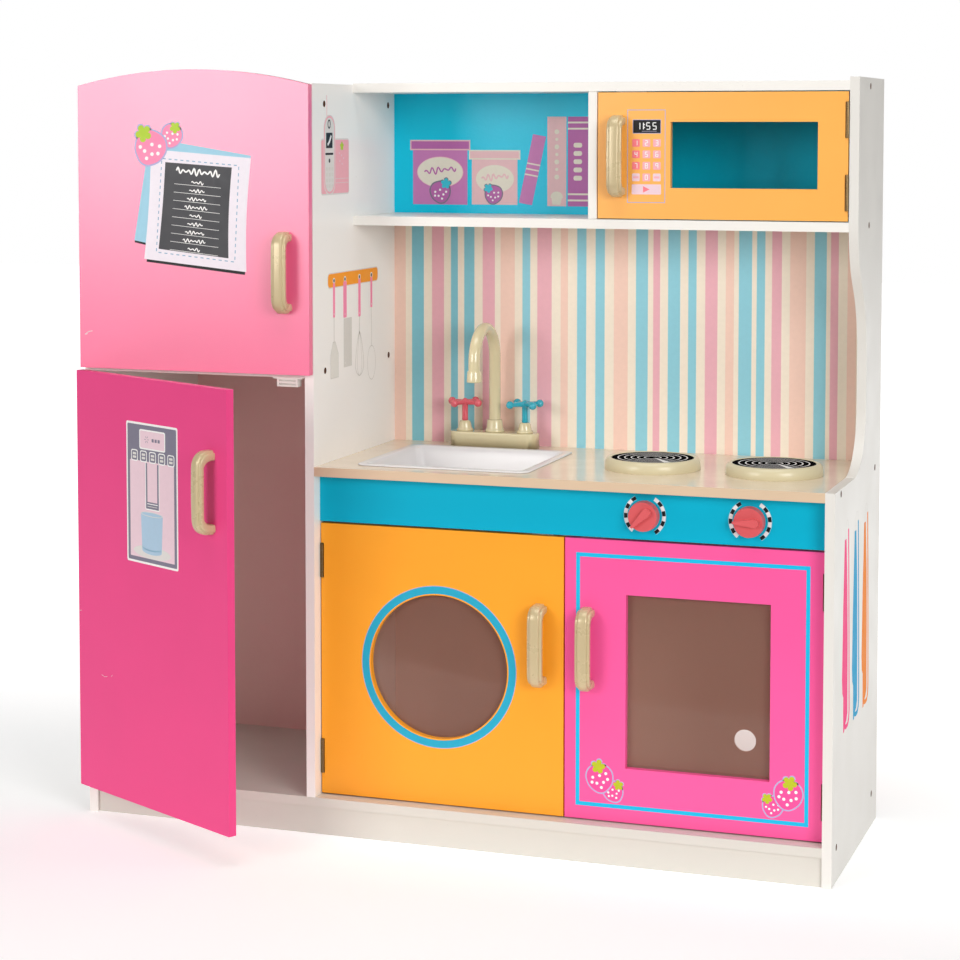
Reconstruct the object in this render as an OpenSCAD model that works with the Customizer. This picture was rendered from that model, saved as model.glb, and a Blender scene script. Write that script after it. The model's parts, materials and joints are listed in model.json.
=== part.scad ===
// Toy kitchen: a fridge-freezer tower beside a base unit with washer, oven, sink and hob,
// and a wall unit with an open shelf and a microwave.
// X runs to the right, Y to the back and Z up. The origin is on the floor, at the middle
// of the width, in the plane of the carcass's front edges. All sizes are in millimetres.

/* [Carcass] */
// Overall width across the side panels
kitchen_w = 1080; // [1000:10:1200]
// Depth of the side panels
kitchen_d = 342; // [330:1:400]
// Thickness of every structural board
board_t = 13; // [12:0.5:15]
// Thickness of the back panels
back_t = 3; // [3:0.5:5]
// Height of the toe space under the base board
toe_h = 40; // [30:1:60]
// How far the plinth stands behind the front edges
plinth_set = 4; // [0:1:20]
// Distance from the front edges to the kitchen's back panels
back_y = 311; // [305:1:315]

/* [Fridge tower] */
// Width of the tower, over both of its panels
tower_w = 354; // [320:1:400]
// Height of the tower's panels
tower_h = 1048; // [1000:1:1100]
// Height of the underside of the shelf between fridge and freezer
fridge_shelf_z = 641.5; // [600:0.5:700]
// Height of the underside of the tower's top board
fridge_top_z = 1013.5; // [980:0.5:1030]
// Height where the freezer door's arch starts
arch_z = 1046; // [1030:1:1060]
// Rise of the freezer door's arch
arch_rise = 22; // [10:1:40]
// Gap between the tower's edges and the back of its doors
overlay_gap = 2.4; // [2.4:0.1:4]
// How far the fridge door stands open
fridge_open = 28; // [0:1:90]

/* [Base unit] */
// Height of the counter's top face
counter_z = 518; // [480:1:560]
// Height of the blue control fascia
fascia_h = 65; // [55:1:80]
// How far the fascia and the base doors stand behind the front edges
door_set = 21; // [16:1:30]

/* [Wall unit] */
// Distance from the front edges to the wall unit's front
wall_y = 148; // [120:1:180]
// Height of the wall shelf's top face
wall_shelf_z = 860.5; // [820:0.5:880]
// Height of the wall unit's top face
wall_top_z = 1050; // [1040:1:1060]
// Height of the right side panel
right_h = 1055; // [1050:1:1070]
// Distance from the front edges to the right panel's waist
waist_y = 222; // [200:1:240]

/* [Doors] */
// Thickness of the doors
door_t = 12; // [12:0.5:15]
// Gap beside an inset door
door_gap = 1.5; // [1.5:0.1:3]
// Radius of the washer's porthole
porthole_r = 100; // [80:1:110]
// Thickness of the clear panes
pane_t = 2; // [1.5:0.5:3]

/* [Handles] */
// Length of a handle
handle_len = 113; // [100:1:130]
// Width of a handle
handle_w = 21; // [18:1:26]
// How far a handle stands off its door
handle_out = 28; // [24:1:34]
// Distance from a door's free edge to the middle of its handle
handle_in = 34; // [28:1:45]

/* [Sink and faucet] */
// Width of the sink's rim
sink_w = 251; // [200:1:280]
// Depth of the sink's rim, front to back
sink_d = 225; // [180:1:230]
// Depth of the sink's bowl
sink_h = 58; // [40:1:80]
// Radius of the faucet's pipe
pipe_r = 8.4; // [6.5:0.1:9]
// Radius of the spout's arch
spout_r = 46; // [35:1:55]
// Distance between the two taps
tap_gap = 93; // [80:1:110]

/* [Hob and knobs] */
// Radius of a burner
burner_r = 66; // [50:1:75]
// Height of a burner
burner_h = 16; // [10:1:20]
// Radius of a knob
knob_r = 20.5; // [16:0.5:25]
// Depth of a knob without its pointer
knob_d = 13; // [10:1:20]

/* [Hidden] */
$fn = 96;

// A cut runs this far past the face that it opens.
over = 1;

// Main planes
left_x = -kitchen_w / 2;
right_x = kitchen_w / 2;
left_in = left_x + board_t;
right_in = right_x - board_t;
tower_x = left_x + tower_w;
tower_in = tower_x - board_t;
split_x = (tower_x + right_in) / 2;
base_z = toe_h + board_t;
fascia_z = counter_z - board_t - fascia_h;

// Door outlines: low corner and high corner in X and Z
door_low = base_z + 2;
door_high = fascia_z - 3;
pair_gap = 2;
fridge_box = [[left_x, base_z - 10], [tower_x, fridge_shelf_z + 1]];
freezer_box = [[left_x, fridge_shelf_z + 5], [tower_x, arch_z]];
washer_box = [[tower_x + door_gap, door_low], [split_x - pair_gap / 2, door_high]];
oven_box = [[split_x + pair_gap / 2, door_low], [right_in - door_gap, door_high]];
microwave_box = [
  [split_x + board_t / 2 + door_gap, wall_shelf_z + door_gap],
  [right_in - door_gap, wall_top_z - board_t - door_gap]
];
overlay_front = -overlay_gap - door_t;

// Windows: middle, width and height in X and Z
washer_mid = [split_x - pair_gap / 2 - 180, (door_low + door_high) / 2];
oven_window_box = [[split_x + 86, door_low + 73.5], [right_in - 74, door_high - 73]];
microwave_window_box = [
  [microwave_box[1][0] - 244, wall_shelf_z + 44],
  [microwave_box[1][0] - 41, wall_top_z - board_t - 42]
];
pane_lap = 9;

// Hinges
pin_r = 1;
barrel_r = 2.5;
barrel_play = 0.1;
leaf_t = 0.9;
leaf_w = 11;
hinge_h = 48;
knuckle_count = 5;
knuckle_gap = 0.3;
pin_side = barrel_r + barrel_play;
overlay_pin = [left_x - pin_side, -overlay_gap / 2];
washer_pin = [tower_x + pin_side, door_set];
oven_pin = [right_in - pin_side, door_set];
microwave_pin = [right_in - pin_side, wall_y];
hinge_inset = 52.5;
microwave_hinge_inset = 38;

// Handle places: middle in X and Z
fridge_handle_at = [tower_x - handle_in - 2, 503];
freezer_handle_at = [tower_x - handle_in - 2, 788];
washer_handle_at = [washer_box[1][0] - handle_in, 288];
oven_handle_at = [oven_box[0][0] + handle_in - 3, 288];
microwave_handle_at = [microwave_box[0][0] + handle_in - 5, 948];
handle_foot = handle_len / 2 - 9;
screw_r = 1.8;
screw_head_r = 3.2;

// Catches: middle in X, and the height of the face that each hangs from
catch_w = 31;
catch_h = 11;
catch_d = 14;
flange_w = 43;
flange_t = 2;
fridge_catch = [tower_in - 26, fridge_shelf_z];
freezer_catch = [tower_in - 26, fridge_top_z];
washer_catch = [split_x - 34, fascia_z];
oven_catch = [split_x + 36, fascia_z];
microwave_catch = [split_x + 52, wall_top_z - board_t];
strike_t = 0.8;
catch_play = 0.4;

// Sink, faucet and hob places
sink_mid = [left_x + 527.5, 145.5];
rim_t = 2.5;
rim_w = 12;
sink_wall = 2;
faucet_at = [left_x + 524, 279];
faucet_block = [133, 34, 23];
block_z = counter_z + faucet_block[2];
bell_h = 15;
collar_h = 18;
tap_z = 583;
arch_mid_z = 651;
burner_y = 143;
burner_x = [left_x + 800, left_x + 970];
disc_r = burner_r * 0.86;
disc_t = 2;
knob_z = 472.5;
knob_x = [left_x + 822, left_x + 964.5];
spindle_r = 3.95;
spindle_hole_r = 4;

white = [0.93, 0.92, 0.9];
champagne = [0.8, 0.77, 0.6];
steel = [0.72, 0.72, 0.74];

// ---------------------------------------------------------------- helpers

// A board between two corners
module board(low, high) {
  translate(low) cube(high - low);
}

// Children turned with the fridge door
module swung() {
  translate([overlay_pin[0], overlay_pin[1], 0])
    rotate([0, 0, -fridge_open])
      translate([-overlay_pin[0], -overlay_pin[1], 0])
        children();
}

// A flat shape drawn in Y and Z, as thick as width along X from the plane x
module side_extrude(x, width) {
  translate([x, 0, 0]) rotate([90, 0, 90]) linear_extrude(width) children();
}

// A flat shape drawn in X and Z, from the plane y back to the plane y + depth
module front_extrude(y, depth) {
  translate([0, y + depth, 0]) rotate([90, 0, 0]) linear_extrude(depth) children();
}

// A rectangle with round corners, centred on the origin
module round_rect(w, d, r) {
  square([w - 2 * r, d], center = true);
  square([w, d - 2 * r], center = true);
  for (sx = [-1, 1], sy = [-1, 1])
    translate([sx * (w / 2 - r), sy * (d / 2 - r)]) circle(r);
}

// Wood screw along +X with its head's face at the origin
panel_screw_len = 34;
module panel_screw() {
  rotate([0, 90, 0]) {
    cylinder(r = 4.6, h = 3);
    cylinder(r = 2, h = panel_screw_len);
  }
}

// Every screw that holds a board between two panels: its head's place and its direction
left_screws = [
  for (y = [42, 286], z = [fridge_top_z, fridge_shelf_z, toe_h])
    [left_x, y, z + board_t / 2]
];
divider_screws = [
  for (y = [42, 286], z = [fridge_top_z, fridge_shelf_z])
    [tower_x, y, z + board_t / 2]
];
inner_screws = [
  [tower_in, 70, counter_z - board_t / 2],
  [tower_in, 250, counter_z - board_t / 2],
  [tower_in, 233, wall_shelf_z - board_t / 2],
  [tower_in, 233, wall_top_z - board_t / 2]
];
right_screws = [
  [right_x, 233, wall_top_z - board_t / 2],
  [right_x, 231, wall_shelf_z - board_t / 2],
  [right_x, 300, counter_z - board_t / 2],
  [right_x, 42, counter_z - board_t / 2],
  [right_x, 299, toe_h + board_t / 2],
  [right_x, 33, toe_h + board_t / 2]
];
module all_panel_screws() {
  for (at = concat(left_screws, inner_screws)) translate(at) panel_screw();
  for (at = concat(divider_screws, right_screws)) translate(at) mirror([1, 0, 0]) panel_screw();
}

// A board with the holes of the panel screws that reach it
module screwed_board(low, high) {
  difference() {
    board(low, high);
    all_panel_screws();
  }
}

// ---------------------------------------------------------------- carcass

module left_side_panel() {
  color(white) screwed_board([left_x, 0, 0], [left_in, kitchen_d, tower_h]);
}

module centre_divider() {
  color(white) screwed_board([tower_in, 0, base_z], [tower_x, kitchen_d, tower_h]);
}

// The right panel is full depth up to the counter, narrow at the waist, and swells to the
// wall unit's depth. The S between waist and wall unit is two arcs of the same radius.
sweep_top = 860;
sweep_low = 680;
sweep_mid = (sweep_top + sweep_low) / 2;
sweep_step = (waist_y - wall_y) / 2;
sweep_r = (pow(sweep_step, 2) + pow(sweep_top - sweep_mid, 2)) / (2 * sweep_step);
cove_r = 85;
module right_panel_cutout() {
  front = -over;
  translate([front, counter_z]) square([wall_y - front, right_h]);
  difference() {
    translate([wall_y - over, counter_z])
      square([waist_y - wall_y + over, sweep_low - counter_z]);
    difference() {
      translate([waist_y - cove_r, counter_z]) square([cove_r, cove_r]);
      translate([waist_y - cove_r, counter_z + cove_r]) circle(cove_r);
    }
  }
  intersection() {
    translate([wall_y - over, sweep_low])
      square([waist_y - wall_y + over, sweep_mid - sweep_low]);
    translate([waist_y - sweep_r, sweep_low]) circle(sweep_r);
  }
  difference() {
    translate([wall_y - over, sweep_mid])
      square([sweep_step + over, sweep_top - sweep_mid]);
    translate([wall_y + sweep_r, sweep_top]) circle(sweep_r);
  }
}

module right_side_panel() {
  color(white) difference() {
    side_extrude(right_in, board_t) difference() {
      square([kitchen_d, right_h]);
      right_panel_cutout();
    }
    all_panel_screws();
  }
}

module base_board() {
  color(white) screwed_board([left_in, 0, toe_h], [right_in, kitchen_d - back_t, base_z]);
}

module plinth() {
  color(white) board([left_in, plinth_set, 0], [right_in, plinth_set + board_t, toe_h]);
}

module fridge_shelf() {
  color(white) screwed_board(
    [left_in, 0, fridge_shelf_z],
    [tower_in, kitchen_d - back_t, fridge_shelf_z + board_t]
  );
}

module fridge_top() {
  color(white) screwed_board(
    [left_in, 0, fridge_top_z],
    [tower_in, kitchen_d - back_t, fridge_top_z + board_t]
  );
}

// The counter's cut-out leaves a running gap round the sink's bowl
cutout_w = sink_w - 2 * rim_w + 2;
cutout_d = sink_d - 2 * rim_w + 2;
module counter_top() {
  color([0.9, 0.82, 0.7]) difference() {
    screwed_board([tower_x, 0, counter_z - board_t], [right_in, back_y, counter_z]);
    translate([sink_mid[0], sink_mid[1], counter_z - board_t - over])
      linear_extrude(board_t + 2 * over) round_rect(cutout_w, cutout_d, 20);
  }
}

module control_fascia() {
  color([0.1, 0.66, 0.8]) difference() {
    board([tower_x, door_set, fascia_z], [right_in, door_set + board_t, counter_z - board_t]);
    for (x = knob_x)
      translate([x, door_set - over, knob_z])
        rotate([-90, 0, 0]) cylinder(r = spindle_hole_r, h = board_t + 2 * over);
  }
}

oven_divider_y = door_set + board_t + 2;
module oven_divider() {
  color(white) board(
    [split_x - board_t / 2, oven_divider_y, base_z],
    [split_x + board_t / 2, back_y, counter_z - board_t]
  );
}

module top_board() {
  color(white) screwed_board(
    [tower_x, wall_y, wall_top_z - board_t],
    [right_in, back_y, wall_top_z]
  );
}

module upper_shelf() {
  color(white) screwed_board(
    [tower_x, wall_y, wall_shelf_z - board_t],
    [right_in, back_y, wall_shelf_z]
  );
}

module upper_divider() {
  color(white) board(
    [split_x - board_t / 2, wall_y, wall_shelf_z],
    [split_x + board_t / 2, back_y, wall_top_z - board_t]
  );
}

// ---------------------------------------------------------------- back panels

module fridge_back() {
  color(white) board(
    [left_in, kitchen_d - back_t, toe_h],
    [tower_in, kitchen_d, fridge_top_z + board_t]
  );
}

// The round hole low down behind the oven lets air and a lead through
vent_at = [left_x + 895, 103.5];
vent_r = 16;
module cabinet_back() {
  color(white) difference() {
    board([tower_x, back_y, base_z], [right_in, back_y + back_t, counter_z - board_t]);
    translate([vent_at[0], back_y - over, vent_at[1]])
      rotate([-90, 0, 0]) cylinder(r = vent_r, h = back_t + 2 * over);
  }
}

module splash_back() {
  color([0.95, 0.82, 0.78]) board(
    [tower_x, back_y, counter_z - board_t],
    [right_in, back_y + back_t, wall_shelf_z - board_t]
  );
}

module shelf_back() {
  color([0.1, 0.7, 0.83]) board(
    [tower_x, back_y, wall_shelf_z - board_t],
    [right_in, back_y + back_t, wall_top_z]
  );
}

// ---------------------------------------------------------------- hinges

knuckle_h = hinge_h / knuckle_count;

// One leaf of a butt hinge. The pin stands on the origin, the plate runs along +X with its
// near face at y, and the leaf carries every second knuckle from the one numbered first.
module hinge_leaf(first, y, bore_r) {
  difference() {
    union() {
      translate([barrel_r + 0.5, y, -hinge_h / 2])
        cube([leaf_w - barrel_r - 0.5, leaf_t, hinge_h]);
      for (i = [first : 2 : knuckle_count - 1])
        translate([0, 0, -hinge_h / 2 + i * knuckle_h + knuckle_gap / 2]) {
          cylinder(r = barrel_r, h = knuckle_h - knuckle_gap);
          translate([0, y, 0]) cube([barrel_r + 1, leaf_t, knuckle_h - knuckle_gap]);
        }
    }
    translate([0, 0, -hinge_h / 2 - over]) cylinder(r = bore_r, h = hinge_h + 2 * over);
  }
}

door_bore_r = pin_r + 0.05;
frame_leaf_inset_y = pin_side - leaf_t;
door_leaf_inset_y = pin_side - door_gap - leaf_t;
frame_leaf_overlay_y = overlay_gap / 2 - leaf_t;

function inset_of(box) = box == microwave_box ? microwave_hinge_inset : hinge_inset;
function hinge_heights(box) = [box[0][1] + inset_of(box), box[1][1] - inset_of(box)];

// Children at both hinges of a door, for a pin place
module at_hinges(pin, box) {
  for (z = hinge_heights(box)) translate([pin[0], pin[1], z]) children();
}

module frame_leaves() {
  for (box = [fridge_box, freezer_box])
    at_hinges(overlay_pin, box) hinge_leaf(0, frame_leaf_overlay_y, pin_r);
  at_hinges(washer_pin, washer_box)
    rotate([0, 0, 90]) hinge_leaf(0, frame_leaf_inset_y, pin_r);
  at_hinges(oven_pin, oven_box)
    mirror([1, 0, 0]) rotate([0, 0, 90]) hinge_leaf(0, frame_leaf_inset_y, pin_r);
  at_hinges(microwave_pin, microwave_box)
    mirror([1, 0, 0]) rotate([0, 0, 90]) hinge_leaf(0, frame_leaf_inset_y, pin_r);
}

module frame_hinge_leaves() {
  color(steel) frame_leaves();
}

module hinge_pins() {
  color(steel) {
    for (pair = [
      [overlay_pin, fridge_box], [overlay_pin, freezer_box], [washer_pin, washer_box],
      [oven_pin, oven_box], [microwave_pin, microwave_box]
    ])
      at_hinges(pair[0], pair[1])
        translate([0, 0, -hinge_h / 2]) cylinder(r = pin_r, h = hinge_h);
  }
}

module overlay_door_leaves(box) {
  color(steel) at_hinges(overlay_pin, box)
    hinge_leaf(1, -overlay_gap / 2, door_bore_r);
}

// Leaves of an inset door; side is 1 for hinges on the left and -1 on the right
module inset_door_leaves(pin, box, side) {
  color(steel) at_hinges(pin, box) scale([side, 1, 1])
    rotate([0, 0, 90]) hinge_leaf(1, door_leaf_inset_y, door_bore_r);
}

// The room that an inset door leaves for its hinge's barrel and plate
notch = barrel_r + 0.6;
module hinge_notch(side) {
  tall = hinge_h + 1;
  scale([side, 1, 1]) translate([0, 0, -tall / 2]) {
    translate([-pin_side, -over, 0]) cube([pin_side + notch, notch + over, tall]);
    translate([-pin_side, 0, 0]) cube([pin_side - door_leaf_inset_y, leaf_w, tall]);
  }
}

// ---------------------------------------------------------------- handles and door parts

// Outline of a handle from the side: it stands on X = 0 and bows out to X = -out
module bow_outline(len, out, r) {
  intersection() {
    translate([-out, -len / 2]) square([out, len]);
    union() {
      translate([-(out - r), -len / 2]) square([out - r, len]);
      translate([-out, -len / 2 + r]) square([out, len - 2 * r]);
      for (s = [-1, 1]) translate([-(out - r), s * (len / 2 - r)]) circle(r);
    }
  }
}

// The finger gap, with slanted corners
gap_out = 17;
gap_half = 38;
module gap_outline() {
  polygon([
    [over, -gap_half - 5], [-3, -gap_half - 5], [-gap_out, -gap_half + 6],
    [-gap_out, gap_half - 6], [-3, gap_half + 5], [over, gap_half + 5]
  ]);
}

ridge_w = 12;
ridge_step = 2;
bow_r = 20;
handle_screw_in = 9;

// A moulded bow handle on the plane y, middle at [x, z], with a raised ridge along it
module bow_handle(at, y) {
  color(champagne) translate([at[0], y, at[1]]) difference() {
    union() {
      side_extrude(-handle_w / 2, handle_w)
        bow_outline(handle_len - 2 * ridge_step, handle_out - ridge_step, bow_r - ridge_step);
      side_extrude(-ridge_w / 2, ridge_w) bow_outline(handle_len, handle_out, bow_r);
    }
    side_extrude(-handle_w, 2 * handle_w) gap_outline();
    for (s = [-1, 1])
      translate([0, over, s * handle_foot])
        rotate([90, 0, 0]) cylinder(r = screw_r, h = handle_screw_in + over);
  }
}

// Two handle screws and the strike plate's screw of one door, seen from its back face at
// y_back. The heads stand on the back and the handle screws run forward into the handle.
head_h = 2;
strike_screw_in = 8;
module door_screws(handle_at, strike_at, y_back) {
  color(steel) {
    for (s = [-1, 1])
      translate([handle_at[0], y_back, handle_at[1] + s * handle_foot]) {
        rotate([-90, 0, 0]) cylinder(r = screw_head_r, h = head_h);
        rotate([90, 0, 0]) cylinder(r = screw_r, h = door_t + handle_screw_in - 1);
      }
    translate([strike_at[0], y_back, strike_at[1]])
      rotate([90, 0, 0]) cylinder(r = screw_r, h = strike_screw_in);
  }
}

// Holes in a door for the same screws
module door_screw_holes(handle_at, strike_at, y_back) {
  for (s = [-1, 1])
    translate([handle_at[0], y_back + over, handle_at[1] + s * handle_foot])
      rotate([90, 0, 0]) cylinder(r = screw_r, h = door_t + 2 * over);
  translate([strike_at[0], y_back + over, strike_at[1]])
    rotate([90, 0, 0]) cylinder(r = screw_r, h = strike_screw_in + over);
}

// Steel plate on a door's back face, in line with its catch
strike_w = 28;
strike_h = 10;
module strike_plate(at, y_back) {
  color(steel) board(
    [at[0] - strike_w / 2, y_back, at[1] - strike_h / 2],
    [at[0] + strike_w / 2, y_back + strike_t, at[1] + strike_h / 2]
  );
}

function strike_at(catch) = [catch[0], catch[1] - flange_t - catch_h / 2];

// A catch's body with its two pole slots, hanging from the origin, its face on Y = 0
module catch_body() {
  difference() {
    translate([-catch_w / 2, 0, -flange_t - catch_h])
      cube([catch_w, catch_d, flange_t + catch_h]);
    for (z = [-4.5, -9.5])
      translate([-catch_w / 2 + 3, -over, z - 1]) cube([catch_w - 6, 4 + over, 2]);
  }
}

// Magnetic catch with its flange under the board at height at[1], its face on the plane y
module hanging_catch(at, y) {
  translate([at[0], y, at[1]]) {
    translate([-flange_w / 2, 0, -flange_t]) cube([flange_w, catch_d, flange_t]);
    catch_body();
  }
}

// Magnetic catch with its flange up the back of the fascia, its face on the plane y
flange_rise = 13;
module fascia_catch(at, y) {
  board(
    [at[0] - flange_w / 2, door_set + board_t, at[1] - flange_t],
    [at[0] + flange_w / 2, door_set + board_t + flange_t, at[1] + flange_rise]
  );
  translate([at[0], y, at[1]]) catch_body();
}

// A closed door's strike plate stays this far in front of its catch
catch_y_from_door = strike_t + catch_play;
module magnetic_catches() {
  color(white) {
    hanging_catch(fridge_catch, fridge_y_back + catch_y_from_door);
    hanging_catch(freezer_catch, fridge_y_back + catch_y_from_door);
    hanging_catch(microwave_catch, wall_y_back + catch_y_from_door);
    fascia_catch(washer_catch, base_y_back + catch_y_from_door);
    fascia_catch(oven_catch, base_y_back + catch_y_from_door);
  }
}

module panel_screws() {
  color([0.35, 0.22, 0.14]) all_panel_screws();
}

// ---------------------------------------------------------------- doors

fridge_y_back = -overlay_gap;
base_y_back = door_set + door_t;
wall_y_back = wall_y + door_t;

function middle(box) = (box[0] + box[1]) / 2;
function size(box) = box[1] - box[0];

// A door's flat outline between two corners
module outline(box) {
  translate(box[0]) square(size(box));
}

// The freezer door's arch is one arc through its top corners and its peak
arch_r = (pow(tower_w / 2, 2) + pow(arch_rise, 2)) / (2 * arch_rise);
module freezer_outline() {
  peak = arch_z + arch_rise;
  intersection() {
    translate(freezer_box[0]) square([tower_w, peak - freezer_box[0][1]]);
    translate([middle(freezer_box)[0], peak - arch_r]) circle(arch_r, $fn = 360);
  }
}

module freezer_door() {
  color([1, 0.66, 0.8]) difference() {
    front_extrude(overlay_front, door_t) freezer_outline();
    door_screw_holes(freezer_handle_at, strike_at(freezer_catch), fridge_y_back);
  }
}
module freezer_handle() {
  bow_handle(freezer_handle_at, overlay_front);
}
module freezer_hinge_leaves() {
  overlay_door_leaves(freezer_box);
}
module freezer_strike_plate() {
  strike_plate(strike_at(freezer_catch), fridge_y_back);
}
module freezer_door_screws() {
  door_screws(freezer_handle_at, strike_at(freezer_catch), fridge_y_back);
}

module fridge_door() {
  color([0.92, 0.33, 0.58]) swung() difference() {
    front_extrude(overlay_front, door_t) outline(fridge_box);
    door_screw_holes(fridge_handle_at, strike_at(fridge_catch), fridge_y_back);
  }
}
module fridge_handle() {
  swung() bow_handle(fridge_handle_at, overlay_front);
}
module fridge_hinge_leaves() {
  swung() overlay_door_leaves(fridge_box);
}
module fridge_strike_plate() {
  swung() strike_plate(strike_at(fridge_catch), fridge_y_back);
}
module fridge_door_screws() {
  swung() door_screws(fridge_handle_at, strike_at(fridge_catch), fridge_y_back);
}

module washer_door() {
  color([1, 0.64, 0.22]) difference() {
    front_extrude(door_set, door_t) difference() {
      outline(washer_box);
      translate(washer_mid) circle(porthole_r);
    }
    front_extrude(base_y_back - pane_t, pane_t + over)
      translate(washer_mid) circle(porthole_r + pane_lap);
    at_hinges(washer_pin, washer_box) hinge_notch(1);
    door_screw_holes(washer_handle_at, strike_at(washer_catch), base_y_back);
  }
}
module washer_window() {
  color([0.5, 0.42, 0.4, 0.45]) front_extrude(base_y_back - pane_t, pane_t)
    translate(washer_mid) circle(porthole_r + pane_lap);
}
module washer_handle() {
  bow_handle(washer_handle_at, door_set);
}
module washer_hinge_leaves() {
  inset_door_leaves(washer_pin, washer_box, 1);
}
module washer_strike_plate() {
  strike_plate(strike_at(washer_catch), base_y_back);
}
module washer_door_screws() {
  door_screws(washer_handle_at, strike_at(washer_catch), base_y_back);
}

// A rectangular window's box grown by the pane's lap
function lapped(box) = [
  box[0] - [pane_lap, pane_lap],
  box[1] + [pane_lap, pane_lap]
];

// A door with a rectangular window and hinges on the right
module window_door(box, window, y, pin, handle_at, catch) {
  difference() {
    front_extrude(y, door_t) difference() {
      outline(box);
      outline(window);
    }
    front_extrude(y + door_t - pane_t, pane_t + over) outline(lapped(window));
    at_hinges(pin, box) hinge_notch(-1);
    door_screw_holes(handle_at, strike_at(catch), y + door_t);
  }
}

module oven_door() {
  color([1, 0.4, 0.66]) window_door(
    oven_box, oven_window_box, door_set, oven_pin, oven_handle_at, oven_catch
  );
}
module oven_window() {
  color([0.5, 0.42, 0.4, 0.45])
    front_extrude(base_y_back - pane_t, pane_t) outline(lapped(oven_window_box));
}
module oven_handle() {
  bow_handle(oven_handle_at, door_set);
}
module oven_hinge_leaves() {
  inset_door_leaves(oven_pin, oven_box, -1);
}
module oven_strike_plate() {
  strike_plate(strike_at(oven_catch), base_y_back);
}
module oven_door_screws() {
  door_screws(oven_handle_at, strike_at(oven_catch), base_y_back);
}

module microwave_door() {
  color([1, 0.74, 0.38]) window_door(
    microwave_box, microwave_window_box, wall_y, microwave_pin,
    microwave_handle_at, microwave_catch
  );
}
module microwave_window() {
  color([0.15, 0.45, 0.55, 0.6])
    front_extrude(wall_y_back - pane_t, pane_t) outline(lapped(microwave_window_box));
}
module microwave_handle() {
  bow_handle(microwave_handle_at, wall_y);
}
module microwave_hinge_leaves() {
  inset_door_leaves(microwave_pin, microwave_box, -1);
}
module microwave_strike_plate() {
  strike_plate(strike_at(microwave_catch), wall_y_back);
}
module microwave_door_screws() {
  door_screws(microwave_handle_at, strike_at(microwave_catch), wall_y_back);
}

// ---------------------------------------------------------------- knobs

knob_play = 0.5;
pointer_h = 7;
washer_r = 7;
washer_t = 1.2;
knob_screw_in = 9;
knob_screw_r = 1.3;

// A knob on the fascia: a round body, a tapered pointer ridge and a spindle that runs
// through the fascia. angle turns the pointer from straight up.
module knob(x, angle) {
  color([0.9, 0.4, 0.42]) translate([x, door_set, knob_z]) rotate([90, 0, 0]) difference() {
    union() {
      translate([0, 0, knob_play]) cylinder(r = knob_r, h = 5);
      translate([0, 0, knob_play]) cylinder(r1 = knob_r, r2 = knob_r - 1, h = knob_d);
      rotate([0, 0, angle]) translate([0, 0, knob_d - over])
        linear_extrude(pointer_h + over) pointer_outline();
      translate([0, 0, -board_t - knob_play])
        cylinder(r = spindle_r, h = board_t + 2 * knob_play + over);
    }
    translate([0, 0, -board_t - knob_play - over])
      cylinder(r = knob_screw_r, h = knob_screw_in + over);
  }
}

// The pointer is narrow at the rim and wide and round at its other end
module pointer_outline() {
  polygon([[-1.5, knob_r - 0.5], [1.5, knob_r - 0.5], [5.5, -9], [-5.5, -9]]);
  translate([0, -9]) circle(5.5);
}

// The screw and washer behind the fascia that keep a knob in
module knob_screw(x) {
  color(steel) translate([x, door_set + board_t + knob_play, knob_z]) rotate([-90, 0, 0]) {
    cylinder(r = washer_r, h = washer_t);
    cylinder(r = screw_head_r, h = washer_t + 2);
    translate([0, 0, -knob_screw_in]) cylinder(r = knob_screw_r, h = knob_screw_in + over);
  }
}

module knob_left() {
  knob(knob_x[0], 135);
}
module knob_left_screw() {
  knob_screw(knob_x[0]);
}
module knob_right() {
  knob(knob_x[1], 90);
}
module knob_right_screw() {
  knob_screw(knob_x[1]);
}

// ---------------------------------------------------------------- hob

module burner_rings() {
  color(champagne) for (x = burner_x)
    translate([x, burner_y, counter_z]) rotate_extrude() polygon([
      [burner_r - 16, 0], [burner_r, 0], [burner_r, burner_h * 0.45],
      [burner_r - 2.2, burner_h * 0.78], [disc_r + 3, burner_h],
      [disc_r, burner_h], [disc_r, burner_h - disc_t - 0.8],
      [burner_r - 16, burner_h - disc_t - 0.8]
    ]);
}

module burner_discs() {
  color([0.08, 0.08, 0.09]) for (x = burner_x)
    translate([x, burner_y, counter_z + burner_h - disc_t - 0.8])
      cylinder(r = disc_r, h = disc_t);
}

// ---------------------------------------------------------------- sink

// A rounded tub between two rounded rectangles
module tub(top, bottom, z_top, z_bottom, r) {
  hull() {
    translate([0, 0, z_top - 0.1]) linear_extrude(0.1)
      round_rect(top[0], top[1], r, $fn = 32);
    translate([0, 0, z_bottom]) linear_extrude(0.1)
      round_rect(bottom[0], bottom[1], r, $fn = 32);
  }
}

sink_top = [sink_w - 2 * rim_w, sink_d - 2 * rim_w];
sink_floor = [sink_top[0] - 26, sink_top[1] - 26];
sink_corner = 18;
module sink_basin() {
  wall = [2 * sink_wall, 2 * sink_wall];
  color([0.96, 0.96, 0.96]) translate([sink_mid[0], sink_mid[1], counter_z]) difference() {
    union() {
      linear_extrude(rim_t) round_rect(sink_w, sink_d, 14);
      tub(sink_top, sink_floor, 0.1, -sink_h, sink_corner);
    }
    tub(sink_top - wall, sink_floor - wall, rim_t + over, -sink_h + sink_wall, sink_corner - 2);
  }
}

// ---------------------------------------------------------------- faucet

tap_spigot_r = 3;
tap_bore_r = 3.05;
tap_bore = 12;
spout_spigot_r = 6;
spout_bore_r = 6.05;
spout_bore = 15;
collar_top = block_z + collar_h;
bell_top = block_z + bell_h;

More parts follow.
